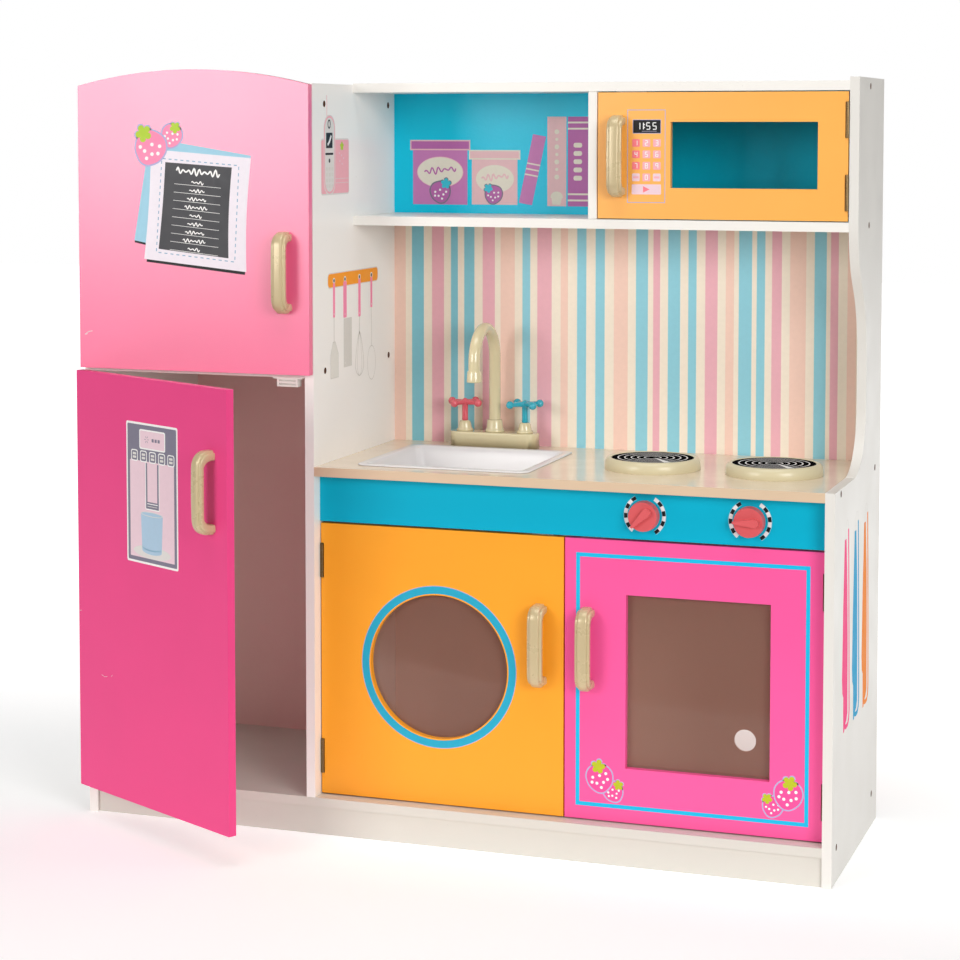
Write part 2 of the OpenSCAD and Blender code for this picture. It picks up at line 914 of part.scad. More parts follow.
// A bell-shaped collar with a bore down its middle
module bell(base_r, top_r, h, bore_r, bore) {
  difference() {
    rotate_extrude() polygon([
      [0, -over], [base_r, -over], [base_r, 1.5], [base_r - 1.5, 2.5],
      [top_r + 1, h * 0.55], [top_r, h - 2], [top_r - 1, h], [0, h]
    ]);
    translate([0, 0, h - bore]) cylinder(r = bore_r, h = bore + over);
  }
}

module faucet_base() {
  color(champagne) translate([faucet_at[0], faucet_at[1], 0]) difference() {
    union() {
      translate([0, 0, counter_z]) linear_extrude(faucet_block[2])
        round_rect(faucet_block[0], faucet_block[1], 12);
      for (s = [-1, 1])
        translate([s * tap_gap / 2, 0, block_z]) bell(12, 7.6, bell_h, tap_bore_r, tap_bore);
      translate([0, 0, block_z]) bell(14, 10.4, collar_h, spout_bore_r, spout_bore);
    }
    translate([0, 0, collar_top - spout_bore]) cylinder(r = spout_bore_r, h = spout_bore + over);
  }
}

// The gooseneck turns on its spigot in the collar
turn_play = 0.4;
spout_drop = 12;
tip_h = 16;
module spout() {
  color(champagne) translate([faucet_at[0], faucet_at[1], 0]) {
    translate([0, 0, collar_top - spout_bore + turn_play])
      cylinder(r = spout_spigot_r, h = spout_bore + over);
    translate([0, 0, collar_top + turn_play])
      cylinder(r = pipe_r, h = arch_mid_z - collar_top - turn_play);
    translate([0, -spout_r, arch_mid_z]) rotate([90, 0, 90])
      rotate_extrude(angle = 180) translate([spout_r, 0]) circle(pipe_r);
    translate([0, -2 * spout_r, arch_mid_z - spout_drop]) cylinder(r = pipe_r, h = spout_drop);
    translate([0, -2 * spout_r, arch_mid_z - spout_drop - tip_h]) difference() {
      cylinder(r1 = pipe_r + 2.4, r2 = pipe_r + 1.4, h = tip_h);
      translate([0, 0, -over]) cylinder(r = pipe_r - 1.5, h = tip_h - 2 + over);
    }
  }
}

// A cross-handle tap: spigot, stem, hub and four arms with ball ends
arm_len = 24.6;
ball_r = 5.7;
arm_r = 3.3;
module tap(side, angle) {
  translate([faucet_at[0] + side * tap_gap / 2, faucet_at[1], 0]) {
    translate([0, 0, bell_top - tap_bore + turn_play])
      cylinder(r = tap_spigot_r, h = tap_bore + over);
    translate([0, 0, bell_top + turn_play]) cylinder(r = 4, h = tap_z - bell_top - turn_play);
    translate([0, 0, tap_z]) sphere(r = 6);
    for (i = [0 : 3]) rotate([0, 0, angle + i * 90]) {
      translate([0, 0, tap_z]) rotate([0, 90, 0]) cylinder(r = arm_r, h = arm_len);
      translate([arm_len, 0, tap_z]) sphere(r = ball_r);
    }
  }
}

module hot_tap() {
  color([0.85, 0.33, 0.4]) tap(-1, -20);
}
module cold_tap() {
  color([0.05, 0.62, 0.72]) tap(1, 45);
}

// ---------------------------------------------------------------- nodes

left_side_panel();
centre_divider();
right_side_panel();
base_board();
plinth();
fridge_shelf();
fridge_top();
counter_top();
control_fascia();
oven_divider();
top_board();
upper_shelf();
upper_divider();
fridge_back();
cabinet_back();
splash_back();
shelf_back();
magnetic_catches();
frame_hinge_leaves();
hinge_pins();
panel_screws();
burner_rings();
burner_discs();
faucet_base();
freezer_door();
freezer_handle();
freezer_hinge_leaves();
freezer_strike_plate();
freezer_door_screws();
fridge_door();
fridge_handle();
fridge_hinge_leaves();
fridge_strike_plate();
fridge_door_screws();
washer_door();
washer_window();
washer_handle();
washer_hinge_leaves();
washer_strike_plate();
washer_door_screws();
oven_door();
oven_window();
oven_handle();
oven_hinge_leaves();
oven_strike_plate();
oven_door_screws();
microwave_door();
microwave_window();
microwave_handle();
microwave_hinge_leaves();
microwave_strike_plate();
microwave_door_screws();
knob_left();
knob_left_screw();
knob_right();
knob_right_screw();
sink_basin();
spout();
hot_tap();
cold_tap();
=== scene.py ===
"""The looks of the toy kitchen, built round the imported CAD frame.

Lengths are in metres, apart from names that end in _MM and the outlines of prints, which are
in millimetres: across from the left face of the kitchen (or from a panel's front edge) and up
from the floor.
"""

import json
from math import cos, pi, radians, sin

import bmesh
import bpy
from mathutils import Matrix, Vector


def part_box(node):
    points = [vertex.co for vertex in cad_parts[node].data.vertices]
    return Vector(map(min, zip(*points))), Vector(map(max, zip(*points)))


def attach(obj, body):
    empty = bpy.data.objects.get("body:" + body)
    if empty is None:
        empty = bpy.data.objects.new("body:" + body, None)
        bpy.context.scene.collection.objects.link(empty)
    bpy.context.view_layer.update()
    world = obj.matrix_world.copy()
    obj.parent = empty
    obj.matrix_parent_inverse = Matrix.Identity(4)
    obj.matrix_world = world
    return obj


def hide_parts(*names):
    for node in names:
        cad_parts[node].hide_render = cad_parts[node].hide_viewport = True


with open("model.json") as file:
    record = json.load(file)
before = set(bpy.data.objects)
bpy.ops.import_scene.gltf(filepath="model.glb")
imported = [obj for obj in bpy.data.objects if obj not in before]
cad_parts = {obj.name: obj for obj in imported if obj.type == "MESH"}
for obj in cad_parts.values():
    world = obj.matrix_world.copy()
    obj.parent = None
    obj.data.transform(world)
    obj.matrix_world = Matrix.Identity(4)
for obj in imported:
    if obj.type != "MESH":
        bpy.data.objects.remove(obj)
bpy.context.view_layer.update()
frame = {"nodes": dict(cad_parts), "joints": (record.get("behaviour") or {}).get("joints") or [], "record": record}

MM = 0.001
X, Y, Z = Vector((1, 0, 0)), Vector((0, 1, 0)), Vector((0, 0, 1))
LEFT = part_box("left_side_panel")[0].x
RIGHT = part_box("right_side_panel")[1].x
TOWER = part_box("centre_divider")[1].x


# ---- camera, light and floor

CAMERA_PLACE = (1.0970, -3.0046, 0.9882)
CAMERA_TURN = 19.3
CAMERA_DOWN = 3.72


def add_object(name, data):
    made = bpy.data.objects.new(name, data)
    bpy.context.scene.collection.objects.link(made)
    return made


def make_camera():
    data = bpy.data.cameras.new("camera")
    data.sensor_width = 36
    data.lens = 88.92
    data.shift_x = 0.0092
    data.shift_y = -0.2073
    camera = add_object("camera", data)
    camera.location = CAMERA_PLACE
    camera.rotation_euler = (radians(90 - CAMERA_DOWN), 0, radians(CAMERA_TURN))
    bpy.context.scene.camera = camera


def softbox(name, place, target, size, power, colour=(1, 1, 1)):
    data = bpy.data.lights.new(name, "AREA")
    data.shape = "RECTANGLE"
    data.size, data.size_y = size
    data.energy = power
    data.color = colour
    lamp = add_object(name, data)
    lamp.location = place
    lamp.rotation_euler = (Vector(target) - Vector(place)).to_track_quat("-Z", "Y").to_euler()


def make_lights():
    middle = (0, 0, 0.55)
    softbox("key_left", (-1.75, -3.0, 1.35), middle, (1.5, 1.3), 49, (1.0, 0.985, 0.96))
    softbox("fill_right", (2.8, -2.6, 1.5), middle, (1.7, 1.6), 77, (1.0, 0.99, 0.975))
    softbox("top", (0.3, -0.7, 3.4), middle, (2.4, 1.6), 39)


def make_world(ambient=0.15):
    """White behind the object, and a dimmer white for all the light that falls on it."""
    world = bpy.data.worlds.new("studio")
    bpy.context.scene.world = world
    world.use_nodes = True
    tree = world.node_tree
    background = tree.nodes["Background"]
    background.inputs["Color"].default_value = (1, 1, 1, 1)
    path = tree.nodes.new("ShaderNodeLightPath")
    strength = tree.nodes.new("ShaderNodeMapRange")
    strength.inputs["To Min"].default_value = ambient
    strength.inputs["To Max"].default_value = 1.0
    tree.links.new(path.outputs["Is Camera Ray"], strength.inputs["Value"])
    tree.links.new(strength.outputs["Result"], background.inputs["Strength"])


# ---- materials


def srgb(red, green, blue):
    """A colour given as three numbers up to 255, as Blender's linear values."""

    def linear(value):
        value /= 255
        return value / 12.92 if value <= 0.04045 else ((value + 0.055) / 1.055) ** 2.4

    return (linear(red), linear(green), linear(blue), 1.0)


class Shader:
    """A Principled material, and the nodes that give it grain, sheen and wear."""

    def __init__(self, name, roughness=0.4, **sockets):
        self.material = bpy.data.materials.new(name)
        self.material.use_nodes = True
        self.tree = self.material.node_tree
        self.principled = self.tree.nodes["Principled BSDF"]
        self.principled.inputs["Roughness"].default_value = roughness
        for socket, value in sockets.items():
            self.principled.inputs[socket.replace("_", " ")].default_value = value
        self.coordinates = self.tree.nodes.new("ShaderNodeTexCoord").outputs["Object"]

    def node(self, kind, **inputs):
        node = self.tree.nodes.new(kind)
        for socket, value in inputs.items():
            node.inputs[socket.replace("_", " ")].default_value = value
        return node

    def link(self, source, target):
        self.tree.links.new(source, target)

    def noise(self, scale, detail=3.0, stretch=None):
        """Noise over the object; stretch squeezes it along one axis into streaks."""
        noise = self.node("ShaderNodeTexNoise", Scale=scale, Detail=detail)
        place = self.coordinates
        if stretch:
            mapping = self.node("ShaderNodeMapping", Scale=stretch)
            self.link(place, mapping.inputs["Vector"])
            place = mapping.outputs["Vector"]
        self.link(place, noise.inputs["Vector"])
        return noise.outputs["Fac"]

    def between(self, value, low, high, start=0.3, end=0.7):
        """Value spread over the range from low to high."""
        spread = self.node(
            "ShaderNodeMapRange", From_Min=start, From_Max=end, To_Min=low, To_Max=high
        )
        self.link(value, spread.inputs["Value"])
        return spread.outputs["Result"]

    def mix(self, factor, first, second):
        mix = self.tree.nodes.new("ShaderNodeMix")
        mix.data_type = "RGBA"
        self.link(factor, mix.inputs["Factor"])
        for socket, colour in (("A", first), ("B", second)):
            target = [s for s in mix.inputs if s.name == socket and s.type == "RGBA"][0]
            if isinstance(colour, tuple):
                target.default_value = colour
            else:
                self.link(colour, target)
        return [s for s in mix.outputs if s.type == "RGBA"][0]

    def colour(self, base, mottle=0.04, scale=7.0, stretch=None):
        """The base colour, a little lighter and darker in soft patches."""
        dark = tuple(c * (1 - mottle) for c in base[:3]) + (1.0,)
        light = tuple(min(1.0, c * (1 + mottle)) for c in base[:3]) + (1.0,)
        patches = self.between(self.noise(scale, 4.0, stretch), 0, 1)
        self.set_colour(self.mix(patches, dark, light))

    def set_colour(self, source):
        self.link(source, self.principled.inputs["Base Color"])

    def sheen_patches(self, roughness, spread=0.05, scale=30.0, stretch=None):
        patches = self.between(
            self.noise(scale, 4.0, stretch), roughness - spread, roughness + spread
        )
        self.link(patches, self.principled.inputs["Roughness"])

    def relief(self, scale, strength, depth=0.0002, detail=2.0, stretch=None):
        bump = self.node("ShaderNodeBump", Strength=strength, Distance=depth)
        self.link(self.noise(scale, detail, stretch), bump.inputs["Height"])
        self.link(bump.outputs["Normal"], self.principled.inputs["Normal"])


def lacquer(name, colour, roughness=0.38, peel=0.25, coat=0.0, sheen=0.5, grain=900):
    """Sprayed paint on fibreboard: even, satin, with a fine orange peel."""
    shader = Shader(name, roughness, Coat_Weight=coat, Coat_Roughness=0.28)
    shader.principled.inputs["Specular IOR Level"].default_value = sheen
    shader.colour(srgb(*colour), 0.02)
    shader.sheen_patches(roughness, 0.012, 14)
    shader.relief(grain, peel)
    return shader.material


def moulded(name, colour, roughness, metallic=0.0, coat=0.0):
    """Injection-moulded plastic, with faint flow streaks along its height."""
    shader = Shader(name, roughness, Metallic=metallic, Coat_Weight=coat, Coat_Roughness=0.07)
    shader.colour(srgb(*colour), 0.015, 30, (1, 1, 0.25))
    shader.sheen_patches(roughness, 0.015, 60)
    shader.relief(260, 0.02, 0.00005)
    return shader.material


def board_surface(name, colour, roughness, mottle=0.03, relief=0.18):
    """White board with faint handling marks and a very fine texture."""
    shader = Shader(name, roughness)
    base = srgb(*colour)
    smudge = tuple(c * 0.90 for c in base[:3]) + (1.0,)
    clean = tuple(min(1.0, c * (1 + mottle)) for c in base[:3]) + (1.0,)
    cloud = shader.between(shader.noise(4.0, 6.0), 0, 0.5, 0.45, 0.8)
    fleck = shader.between(shader.noise(260, 2.0), 0, 1, 0.72, 0.80)
    marked = shader.mix(cloud, clean, base)
    shader.set_colour(shader.mix(fleck, marked, smudge))
    shader.sheen_patches(roughness, 0.06, 18)
    shader.relief(700, relief)
    return shader.material


def metal(name, colour, roughness=0.35, grain=(1, 1, 12)):
    """Plated steel with a fine drawn grain."""
    shader = Shader(name, roughness, Metallic=1.0)
    shader.colour(srgb(*colour), 0.16, 60, grain)
    shader.sheen_patches(roughness, 0.1, 120, grain)
    shader.relief(500, 0.2, 0.0001, 2.0, grain)
    return shader.material


def clear_pane(name, colour, film, roughness=0.06):
    """Clear acrylic under a film of haze: more of a mirror at a glance. The film is partly painted shade, coloured
    like the dim space behind the pane.
    """
    shader = Shader(name, roughness)
    shader.principled.inputs["Base Color"].default_value = srgb(*colour)
    shader.sheen_patches(roughness, 0.02, 55)
    facing = shader.node("ShaderNodeLayerWeight", Blend=0.12).outputs["Facing"]
    haze = shader.between(shader.noise(5, 4.0), film * 0.92, film * 1.08)
    cover = shader.node("ShaderNodeMapRange", To_Max=0.9)
    shader.link(facing, cover.inputs["Value"])
    shader.link(haze, cover.inputs["To Min"])
    shader.link(cover.outputs["Result"], shader.principled.inputs["Alpha"])
    return shader.material


def ink(name, colour, roughness=0.42):
    """Printed ink with a little unevenness in its cover."""
    sheen = 0.03 if name.removeprefix("ink_") in MATT_INKS else 0.3
    shader = Shader(name, roughness, Specular_IOR_Level=sheen)
    shader.colour(srgb(*colour), 0.015, 160)
    shader.sheen_patches(roughness, 0.05, 90)
    shader.relief(900, 0.15)
    return shader.material


LOOKS = {
    board_surface: {
        "white_paint": ((239, 236, 230), 0.36),
        # The next three are copies of white_paint, the one white board: a lighter copy is painted light on the
        # centre divider, and two darker copies are painted shade on the right side panel and on the base board and
        # plinth low down.
        "bright_white": ((247, 244, 240), 0.36),
        "side_white": ((225, 222, 216), 0.38),
        "low_white": ((209, 205, 196), 0.44),
        "inner_white": ((240, 234, 226), 0.5),
        # Bare hardboard on the backs of the thin boards; on the cabinet back's front its warm brown also paints in
        # the dim reddish shade inside the washer and oven.
        "hardboard": ((236, 190, 168), 0.6, 0.03, 0.04),
        # White board tinted pink: painted pink light, bounced from the open fridge door onto the fridge's back
        # board.
        "inner_rose": ((248, 218, 210), 0.5),
        "counter_laminate": ((228, 212, 190), 0.13),
    },
    lacquer: {
        # The freezer, fridge and oven doors share one pink paint: the freezer's copy is made lighter to paint in
        # part of the sheen of light down its face, and the oven's is a little lighter than the fridge's, as
        # painted light.
        "freezer_paint": ((249, 106, 152), 0.34, 0.3, 0.9, 0.8),
        "fridge_paint": ((238, 72, 138), 0.36, 0.3, 0.0, 0.25),
        "oven_paint": ((250, 90, 160), 0.36, 0.25, 0.0, 0.40),
        "washer_paint": ((255, 168, 44), 0.36, 0.25, 0.1, 0.25),
        # The washer's orange made lighter: painted sheen on the microwave door high up.
        "microwave_paint": ((255, 180, 82), 0.34, 0.25, 0.4),
        "blue_paint": ((0, 176, 208), 0.42, 0.5, 0.0, 0.15, 420),
        "shelf_blue": ((0, 206, 240), 0.25, 0.9, 0.0, 0.25, 300),
        "counter_edge": ((220, 193, 163), 0.36),
        "burner_black": ((16, 16, 17), 0.45, 0.2, 0.0, 0.0),
    },
    moulded: {
        "champagne": ((204, 186, 146), 0.28, 0.10),
        "ring_champagne": ((212, 202, 168), 0.30),
        "faucet_champagne": ((222, 210, 170), 0.24, 0.0, 0.9),
        "coral": ((220, 94, 98), 0.30),
        "tap_red": ((226, 88, 104), 0.24, 0.0, 0.9),
        "tap_blue": ((0, 168, 192), 0.24, 0.0, 0.9),
        "sink_white": ((226, 224, 225), 0.20),
        "catch_white": ((232, 228, 222), 0.4),
        "screw_brown": ((92, 54, 30), 0.6),
    },
    metal: {
        "hinge_steel": ((128, 106, 74),),
        "plate_steel": ((188, 188, 190), 0.3, (12, 1, 1)),
    },
    clear_pane: {
        # Each film's colour is partly the pane's tint and partly painted shade: dark blue-green over the
        # microwave's blue back, warm brown over the washer's and oven's dim insides.
        "clear_pane": ((20, 52, 60), 0.05),
        "hazy_pane": ((178, 132, 116), 0.26),
    },
}
MATERIALS = {
    name: make(name, *look) for make, looks in LOOKS.items() for name, look in looks.items()
}

MATT_INKS = {"towel_pink", "towel_blue", "towel_orange", "hob_line"}
INKS = {
    "white": (250, 248, 246), "cream": (248, 236, 218), "peach": (248, 212, 196),
    # The darker of the two aqua inks is painted shade on the left stripes of the splash back, beside the divider.
    "stripe_pink": (240, 182, 194), "aqua": (148, 211, 227), "teal": (134, 202, 218),
    "sky": (158, 206, 226), "line_blue": (16, 190, 234), "ring_blue": (36, 170, 202),
    "lilac": (176, 176, 216), "berry_pink": (250, 140, 178), "berry_deep": (246, 82, 156),
    "leaf": (178, 208, 48), "olive_leaf": (186, 196, 36), "sheet_white": (240, 232, 240),
    "dash_blue": (130, 170, 196), "slate": (66, 66, 70), "black": (20, 20, 22),
    "grey": (128, 124, 142), "pale_pink": (238, 208, 218), "rose": (243, 176, 186),
    "key_pink": (250, 130, 140), "cup_blue": (176, 204, 226), "pale_grey": (220, 216, 210),
    "mist": (226, 222, 218), "faint": (230, 227, 220), "faint_line": (218, 215, 209),
    "purple": (206, 130, 190), "plum": (190, 108, 176), "blush": (240, 198, 202),
    "ivory": (238, 232, 216), "leaf_blue": (62, 198, 220), "towel_pink": (250, 66, 136),
    "towel_blue": (0, 160, 208), "towel_orange": (244, 134, 0), "hob_line": (226, 226, 226),
    "rail_orange": (255, 158, 8), "dial_white": (240, 240, 240),
}
INK_MATERIALS = {name: ink("ink_" + name, colour) for name, colour in INKS.items()}


# ---- pieces from CAD nodes


def link_piece(name, mesh, body, slot, *nodes):
    """Puts a mesh in the scene, on its body, in place of its CAD nodes."""
    piece = add_object(name, mesh)
    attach(piece, body)
    if nodes:
        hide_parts(*nodes)
    return piece


def round_edges(piece, width, pull=100, segments=3, angle=35):
    """Bevels the edges, and shades each flat face as flat right up to its bevel. pull is how
    far the larger face has its way; round shapes need less."""
    bevel = piece.modifiers.new("rounded_edges", "BEVEL")
    bevel.width = width
    bevel.segments = segments
    bevel.limit_method = "ANGLE"
    bevel.angle_limit = radians(angle)
    flatten = piece.modifiers.new("flat_faces", "WEIGHTED_NORMAL")
    flatten.mode = "FACE_AREA"
    flatten.weight = pull


def body_and_slot(node):
    """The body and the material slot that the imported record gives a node."""
    record = frame["record"]
    bodies = record["behaviour"]["bodies"]
    body = [name for name, nodes in bodies.items() if node in nodes][0]
    slot = [part["material_slot"] for part in record["subparts"] if part["node"] == node][0]
    return body, slot


def finished_mesh(shape, name, materials):
    """Ends the work on a shape and makes it a mesh."""
    mesh = bpy.data.meshes.new(name)
    shape.to_mesh(mesh)
    shape.free()
    for material in materials:
        mesh.materials.append(material)
    return mesh


def softened(node, material, width=1.4 * MM, edge=None, edge_normal=None, pull=100):
    """A node's own shape with rounded edges. edge is the material of its faces that look
    along edge_normal."""
    mesh = frame["nodes"][node].data.copy()
    shape = bmesh.new()
    shape.from_mesh(mesh)
    bmesh.ops.remove_doubles(shape, verts=shape.verts, dist=1e-6)
    flat = radians(0.5)
    bmesh.ops.dissolve_limit(shape, angle_limit=flat, verts=shape.verts, edges=shape.edges)
    mesh.materials.clear()
    mesh.materials.append(MATERIALS[material])
    if edge:
        mesh.materials.append(MATERIALS[edge])
    for face in shape.faces:
        face.smooth = True
        face.material_index = int(bool(edge) and face.normal.dot(edge_normal) > 0.99)
    shape.to_mesh(mesh)
    shape.free()
    piece = link_piece(node + "_piece", mesh, *body_and_slot(node), node)
    round_edges(piece, width, pull)


def dress(node, material):
    """A CAD node whose own shape shows takes a better material."""
    for slot in frame["nodes"][node].material_slots:
        slot.material = MATERIALS[material]


def islands(node):
    """The points of each separate solid of a node, the leftmost solid first."""
    shape = bmesh.new()
    shape.from_mesh(frame["nodes"][node].data)
    bmesh.ops.remove_doubles(shape, verts=shape.verts, dist=1e-6)
    left = set(shape.verts)
    found = []
    while left:
        queue = [left.pop()]
        group = list(queue)
        while queue:
            for edge in queue.pop().link_edges:
                for vertex in edge.verts:
                    if vertex in left:
                        left.remove(vertex)
                        queue.append(vertex)
                        group.append(vertex)
        found.append([vertex.co.copy() for vertex in group])
    shape.free()
    return sorted(found, key=lambda points: tuple(round(c, 4) for c in points_box(points)[0]))


def points_box(points):
    low = Vector([min(p[i] for p in points) for i in range(3)])
    high = Vector([max(p[i] for p in points) for i in range(3)])
    return low, high


def skin(shape, rows, endless=False):
    """Joins loops of points, one after the other, into one closed skin."""
    loops = [[shape.verts.new(point) for point in row] for row in rows]
    count = len(rows[0])
    following = loops[1:] + (loops[:1] if endless else [])
    made = []
    for first, second in zip(loops, following):
        for i in range(count):
            after = (i + 1) % count
            made.append(shape.faces.new((first[i], first[after], second[after], second[i])))
    if not endless:
        made += [shape.faces.new(loops[0]), shape.faces.new(loops[-1])]
    return made


def circle_row(middle, across, up, radius, count=32):
    turns = [2 * pi * i / count for i in range(count)]
    return [middle + (across * cos(a) + up * sin(a)) * radius for a in turns]


def lathe(shape, foot, profile, axis=Z, count=32, endless=False):
    """A turned shape. The profile is (radius, height above the foot) in millimetres."""
    across = axis.orthogonal().normalized()
    up = axis.cross(across)
    rows = [circle_row(foot + axis * h * MM, across, up, r * MM, count) for r, h in profile]
    skin(shape, rows, endless)


def ball(shape, middle, radius):
    turns = [pi * (i + 0.25) / 14.5 for i in range(15)]
    lathe(shape, middle, [(radius * sin(a), -radius * cos(a)) for a in turns])


def moulding(shape, node, material, sharp=32):
    """Makes the shape the node's piece, with a crease where faces meet at a sharp angle."""
    bmesh.ops.recalc_face_normals(shape, faces=shape.faces)
    for face in shape.faces:
        face.smooth = True
    for edge in shape.edges:
        edge.smooth = edge.calc_face_angle(0) < radians(sharp)
    mesh = finished_mesh(shape, node + "_piece", [MATERIALS[material]])
    return link_piece(mesh.name, mesh, *body_and_slot(node), node)


# The material of each board, and of the front of each thin back board
BOARDS = {
    "left_side_panel": "white_paint",
    # The centre divider, right side panel, base board and plinth take lit and shaded copies of the white board:
    # painted light and painted shade.
    "centre_divider": "bright_white",
    "right_side_panel": "side_white",
    "base_board": "low_white",
    "plinth": "low_white",
    "fridge_shelf": "white_paint",
    "fridge_top": "white_paint",
    "top_board": "white_paint",
    "upper_shelf": "white_paint",
    "upper_divider": "white_paint",
    "oven_divider": "inner_white",
    "control_fascia": "blue_paint",
}
THIN_BOARDS = {
    # The fridge back's front is white tinted with painted pink bounce light.
    "fridge_back": "inner_rose",
    # The cabinet back's front is bare hardboard whose warm brown is partly painted shade.
    "cabinet_back": "hardboard",
    "shelf_back": "shelf_blue",
}
DOORS = ("freezer", "fridge", "washer", "oven", "microwave")
MOULDINGS = {
    "burner_discs": ("burner_black", 0.3 * MM),
    "knob_left": ("coral", 0.35 * MM),
    "knob_right": ("coral", 0.35 * MM),
}
DRESSED = {
    "hinge_steel": ["frame_hinge_leaves", "hinge_pins"],
    "plate_steel": ["knob_left_screw", "knob_right_screw"],
    "clear_pane": ["microwave_window"],
    "hazy_pane": ["washer_window", "oven_window"],
    "catch_white": ["magnetic_catches"],
}


def make_boards():
    for node, material in BOARDS.items():
        softened(node, material)
    for node, material in THIN_BOARDS.items():
        softened(node, material, 0.3 * MM, "hardboard", Y)
    for door in DOORS:
        softened(door + "_door", door + "_paint", 1.8 * MM)
    for node, (material, width) in MOULDINGS.items():
        softened(node, material, width, pull=50)
    softened("counter_top", "counter_laminate", 1.2 * MM, "counter_edge", -Y)


def dress_hardware():
    for material, nodes in DRESSED.items():
        for node in nodes:
            dress(node, material)
    for door in DOORS:
        dress(door + "_hinge_leaves", "hinge_steel")
        dress(door + "_strike_plate", "plate_steel")
        dress(door + "_door_screws", "plate_steel")


# ---- striped splash back

# Each stripe from the left: its ink, its width and the cream gap after it
STRIPES_MM = [
    # The first stripes take the darker aqua ink: painted shade beside the divider.
    ("peach", 18, 10), ("teal", 19, 13), ("stripe_pink", 19, 11), ("teal", 11, 10),
    ("teal", 16, 13), ("stripe_pink", 19, 9), ("peach", 22, 12), ("aqua", 12, 11),
    ("stripe_pink", 22, 14), ("peach", 11, 14), ("aqua", 14, 14), ("aqua", 14, 14),
    ("peach", 21, 12), ("aqua", 18, 8), ("stripe_pink", 10, 12), ("aqua", 18, 12),
    ("aqua", 12, 13), ("stripe_pink", 18, 12), ("peach", 12, 7), ("aqua", 19, 7),
    ("aqua", 12, 10), ("stripe_pink", 14, 12), ("peach", 23, 12), ("aqua", 17, 6),
    ("stripe_pink", 11, 13), ("peach", 13, 10), ("aqua", 12, 0),
]


def make_splash_back():
    """The back board with one front face for each stripe, cream between the colours."""
    low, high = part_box("splash_back")
    inks = sorted({name for name, _, _ in STRIPES_MM} | {"cream"})
    cuts = [(low.x, None)]
    for name, width, gap in STRIPES_MM:
        for colour, step in ((name, width), ("cream", gap)):
            if step and cuts[-1][0] < high.x:
                cuts.append((min(high.x, cuts[-1][0] + step * MM), colour))
    cuts[-1] = (high.x, cuts[-1][1])
    shape = bmesh.new()
    corners = [(low.y, low.z), (low.y, high.z), (high.y, high.z), (high.y, low.z)]
    sides = skin(shape, [[(x, y, z) for y, z in corners] for x, _ in cuts])
    for front, (_, colour) in zip(sides[:: len(corners)], cuts[1:]):
        front.material_index = 1 + inks.index(colour)
    bmesh.ops.recalc_face_normals(shape, faces=shape.faces)
    materials = [MATERIALS["hardboard"]] + [INK_MATERIALS[name] for name in inks]
    mesh = finished_mesh(shape, "splash_back_piece", materials)
    link_piece("splash_back_piece", mesh, "carcass", "striped_print", "splash_back")


# ---- handles

# How far the grip bows out, its outer corners' radius, the length of a foot and the grip's depth
BOW_MM, CORNER_MM, FOOT_MM, GRIP_MM = 1.0, 19.0, 13.5, 11.0
# The inner corners, away from the door and along it
INNER_CORNER_MM = (14.0, 11.0)
CORNER_STEPS, GRIP_STEPS = 9, 14
# Half of a handle's section: how wide it is at each depth, from the inside out, as shares
SECTION = [
    (0.00, 0.0), (0.74, 0.0), (0.88, 0.05), (0.96, 0.16), (1.00, 0.34), (1.00, 0.58),
    (0.97, 0.68), (0.90, 0.74), (0.80, 0.76), (0.66, 0.765), (0.635, 0.84), (0.60, 0.92),
    (0.52, 0.975), (0.36, 1.0), (0.00, 1.0),
]


def handle_path(half, out):
    """Pairs of outer and inner points (distance from the door, place along it)."""
    pairs = [((0, -half), (0, FOOT_MM - half)), ((4, -half), (3, FOOT_MM - half))]
    in_deep, in_long = INNER_CORNER_MM
    for step in range(CORNER_STEPS + 1):
        angle = pi / 2 * step / CORNER_STEPS
        rise, run = sin(angle), 1 - cos(angle)
        outer = (out - BOW_MM - CORNER_MM + CORNER_MM * rise, CORNER_MM * run - half)
        inner = (3 + in_deep * rise, FOOT_MM - half + in_long * run)
        pairs.append((outer, inner))
    outer_end, inner_end = half - CORNER_MM, half - FOOT_MM - in_long
    half_grip = GRIP_STEPS // 2
    for step in range(1, half_grip + 1):
        share = step / half_grip - 1
        bow = BOW_MM * (1 - share**2)
        pairs.append(((out - BOW_MM + bow, outer_end * share), (out - GRIP_MM, inner_end * share)))
    mirrored = [((a, -b), (c, -d)) for (a, b), (c, d) in reversed(pairs[:-1])]
    return pairs + mirrored


def make_handle(node, plane, wide_mm, out_mm):
    """A moulded bow with a raised ridge, swept between its outer and inner outline."""
    half = (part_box(node)[1].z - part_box(node)[0].z) / MM / 2
    loop = SECTION[1:-1]
    loop += [(-wide, deep) for wide, deep in reversed(loop)]
    rows = []
    for outer, inner in handle_path(half, out_mm):
        spots = [(wide, Vector(inner).lerp(Vector(outer), deep)) for wide, deep in loop]
        rows.append([plane.point(wide * wide_mm / 2, spot.y, spot.x) for wide, spot in spots])
    shape = bmesh.new()
    skin(shape, rows)
    moulding(shape, node, "champagne", 30)


class Plane:
    """A flat face that prints and handles stand on, with its own across, up and out."""

    def __init__(self, origin, right, up):
        self.origin, self.right, self.up = Vector(origin), Vector(right), Vector(up)
        self.out = self.right.cross(self.up)

    def point(self, across, up, out=0.0):
        place = self.right * across + self.up * up + self.out * out
        return self.origin + place * MM

    def moved(self, across, up):
        return Plane(self.point(across, up), self.right, self.up)


def front_plane(y):
    return Plane((LEFT, y, 0), X, Z)


def side_plane(x):
    return Plane((x, 0, 0), Y, Z)


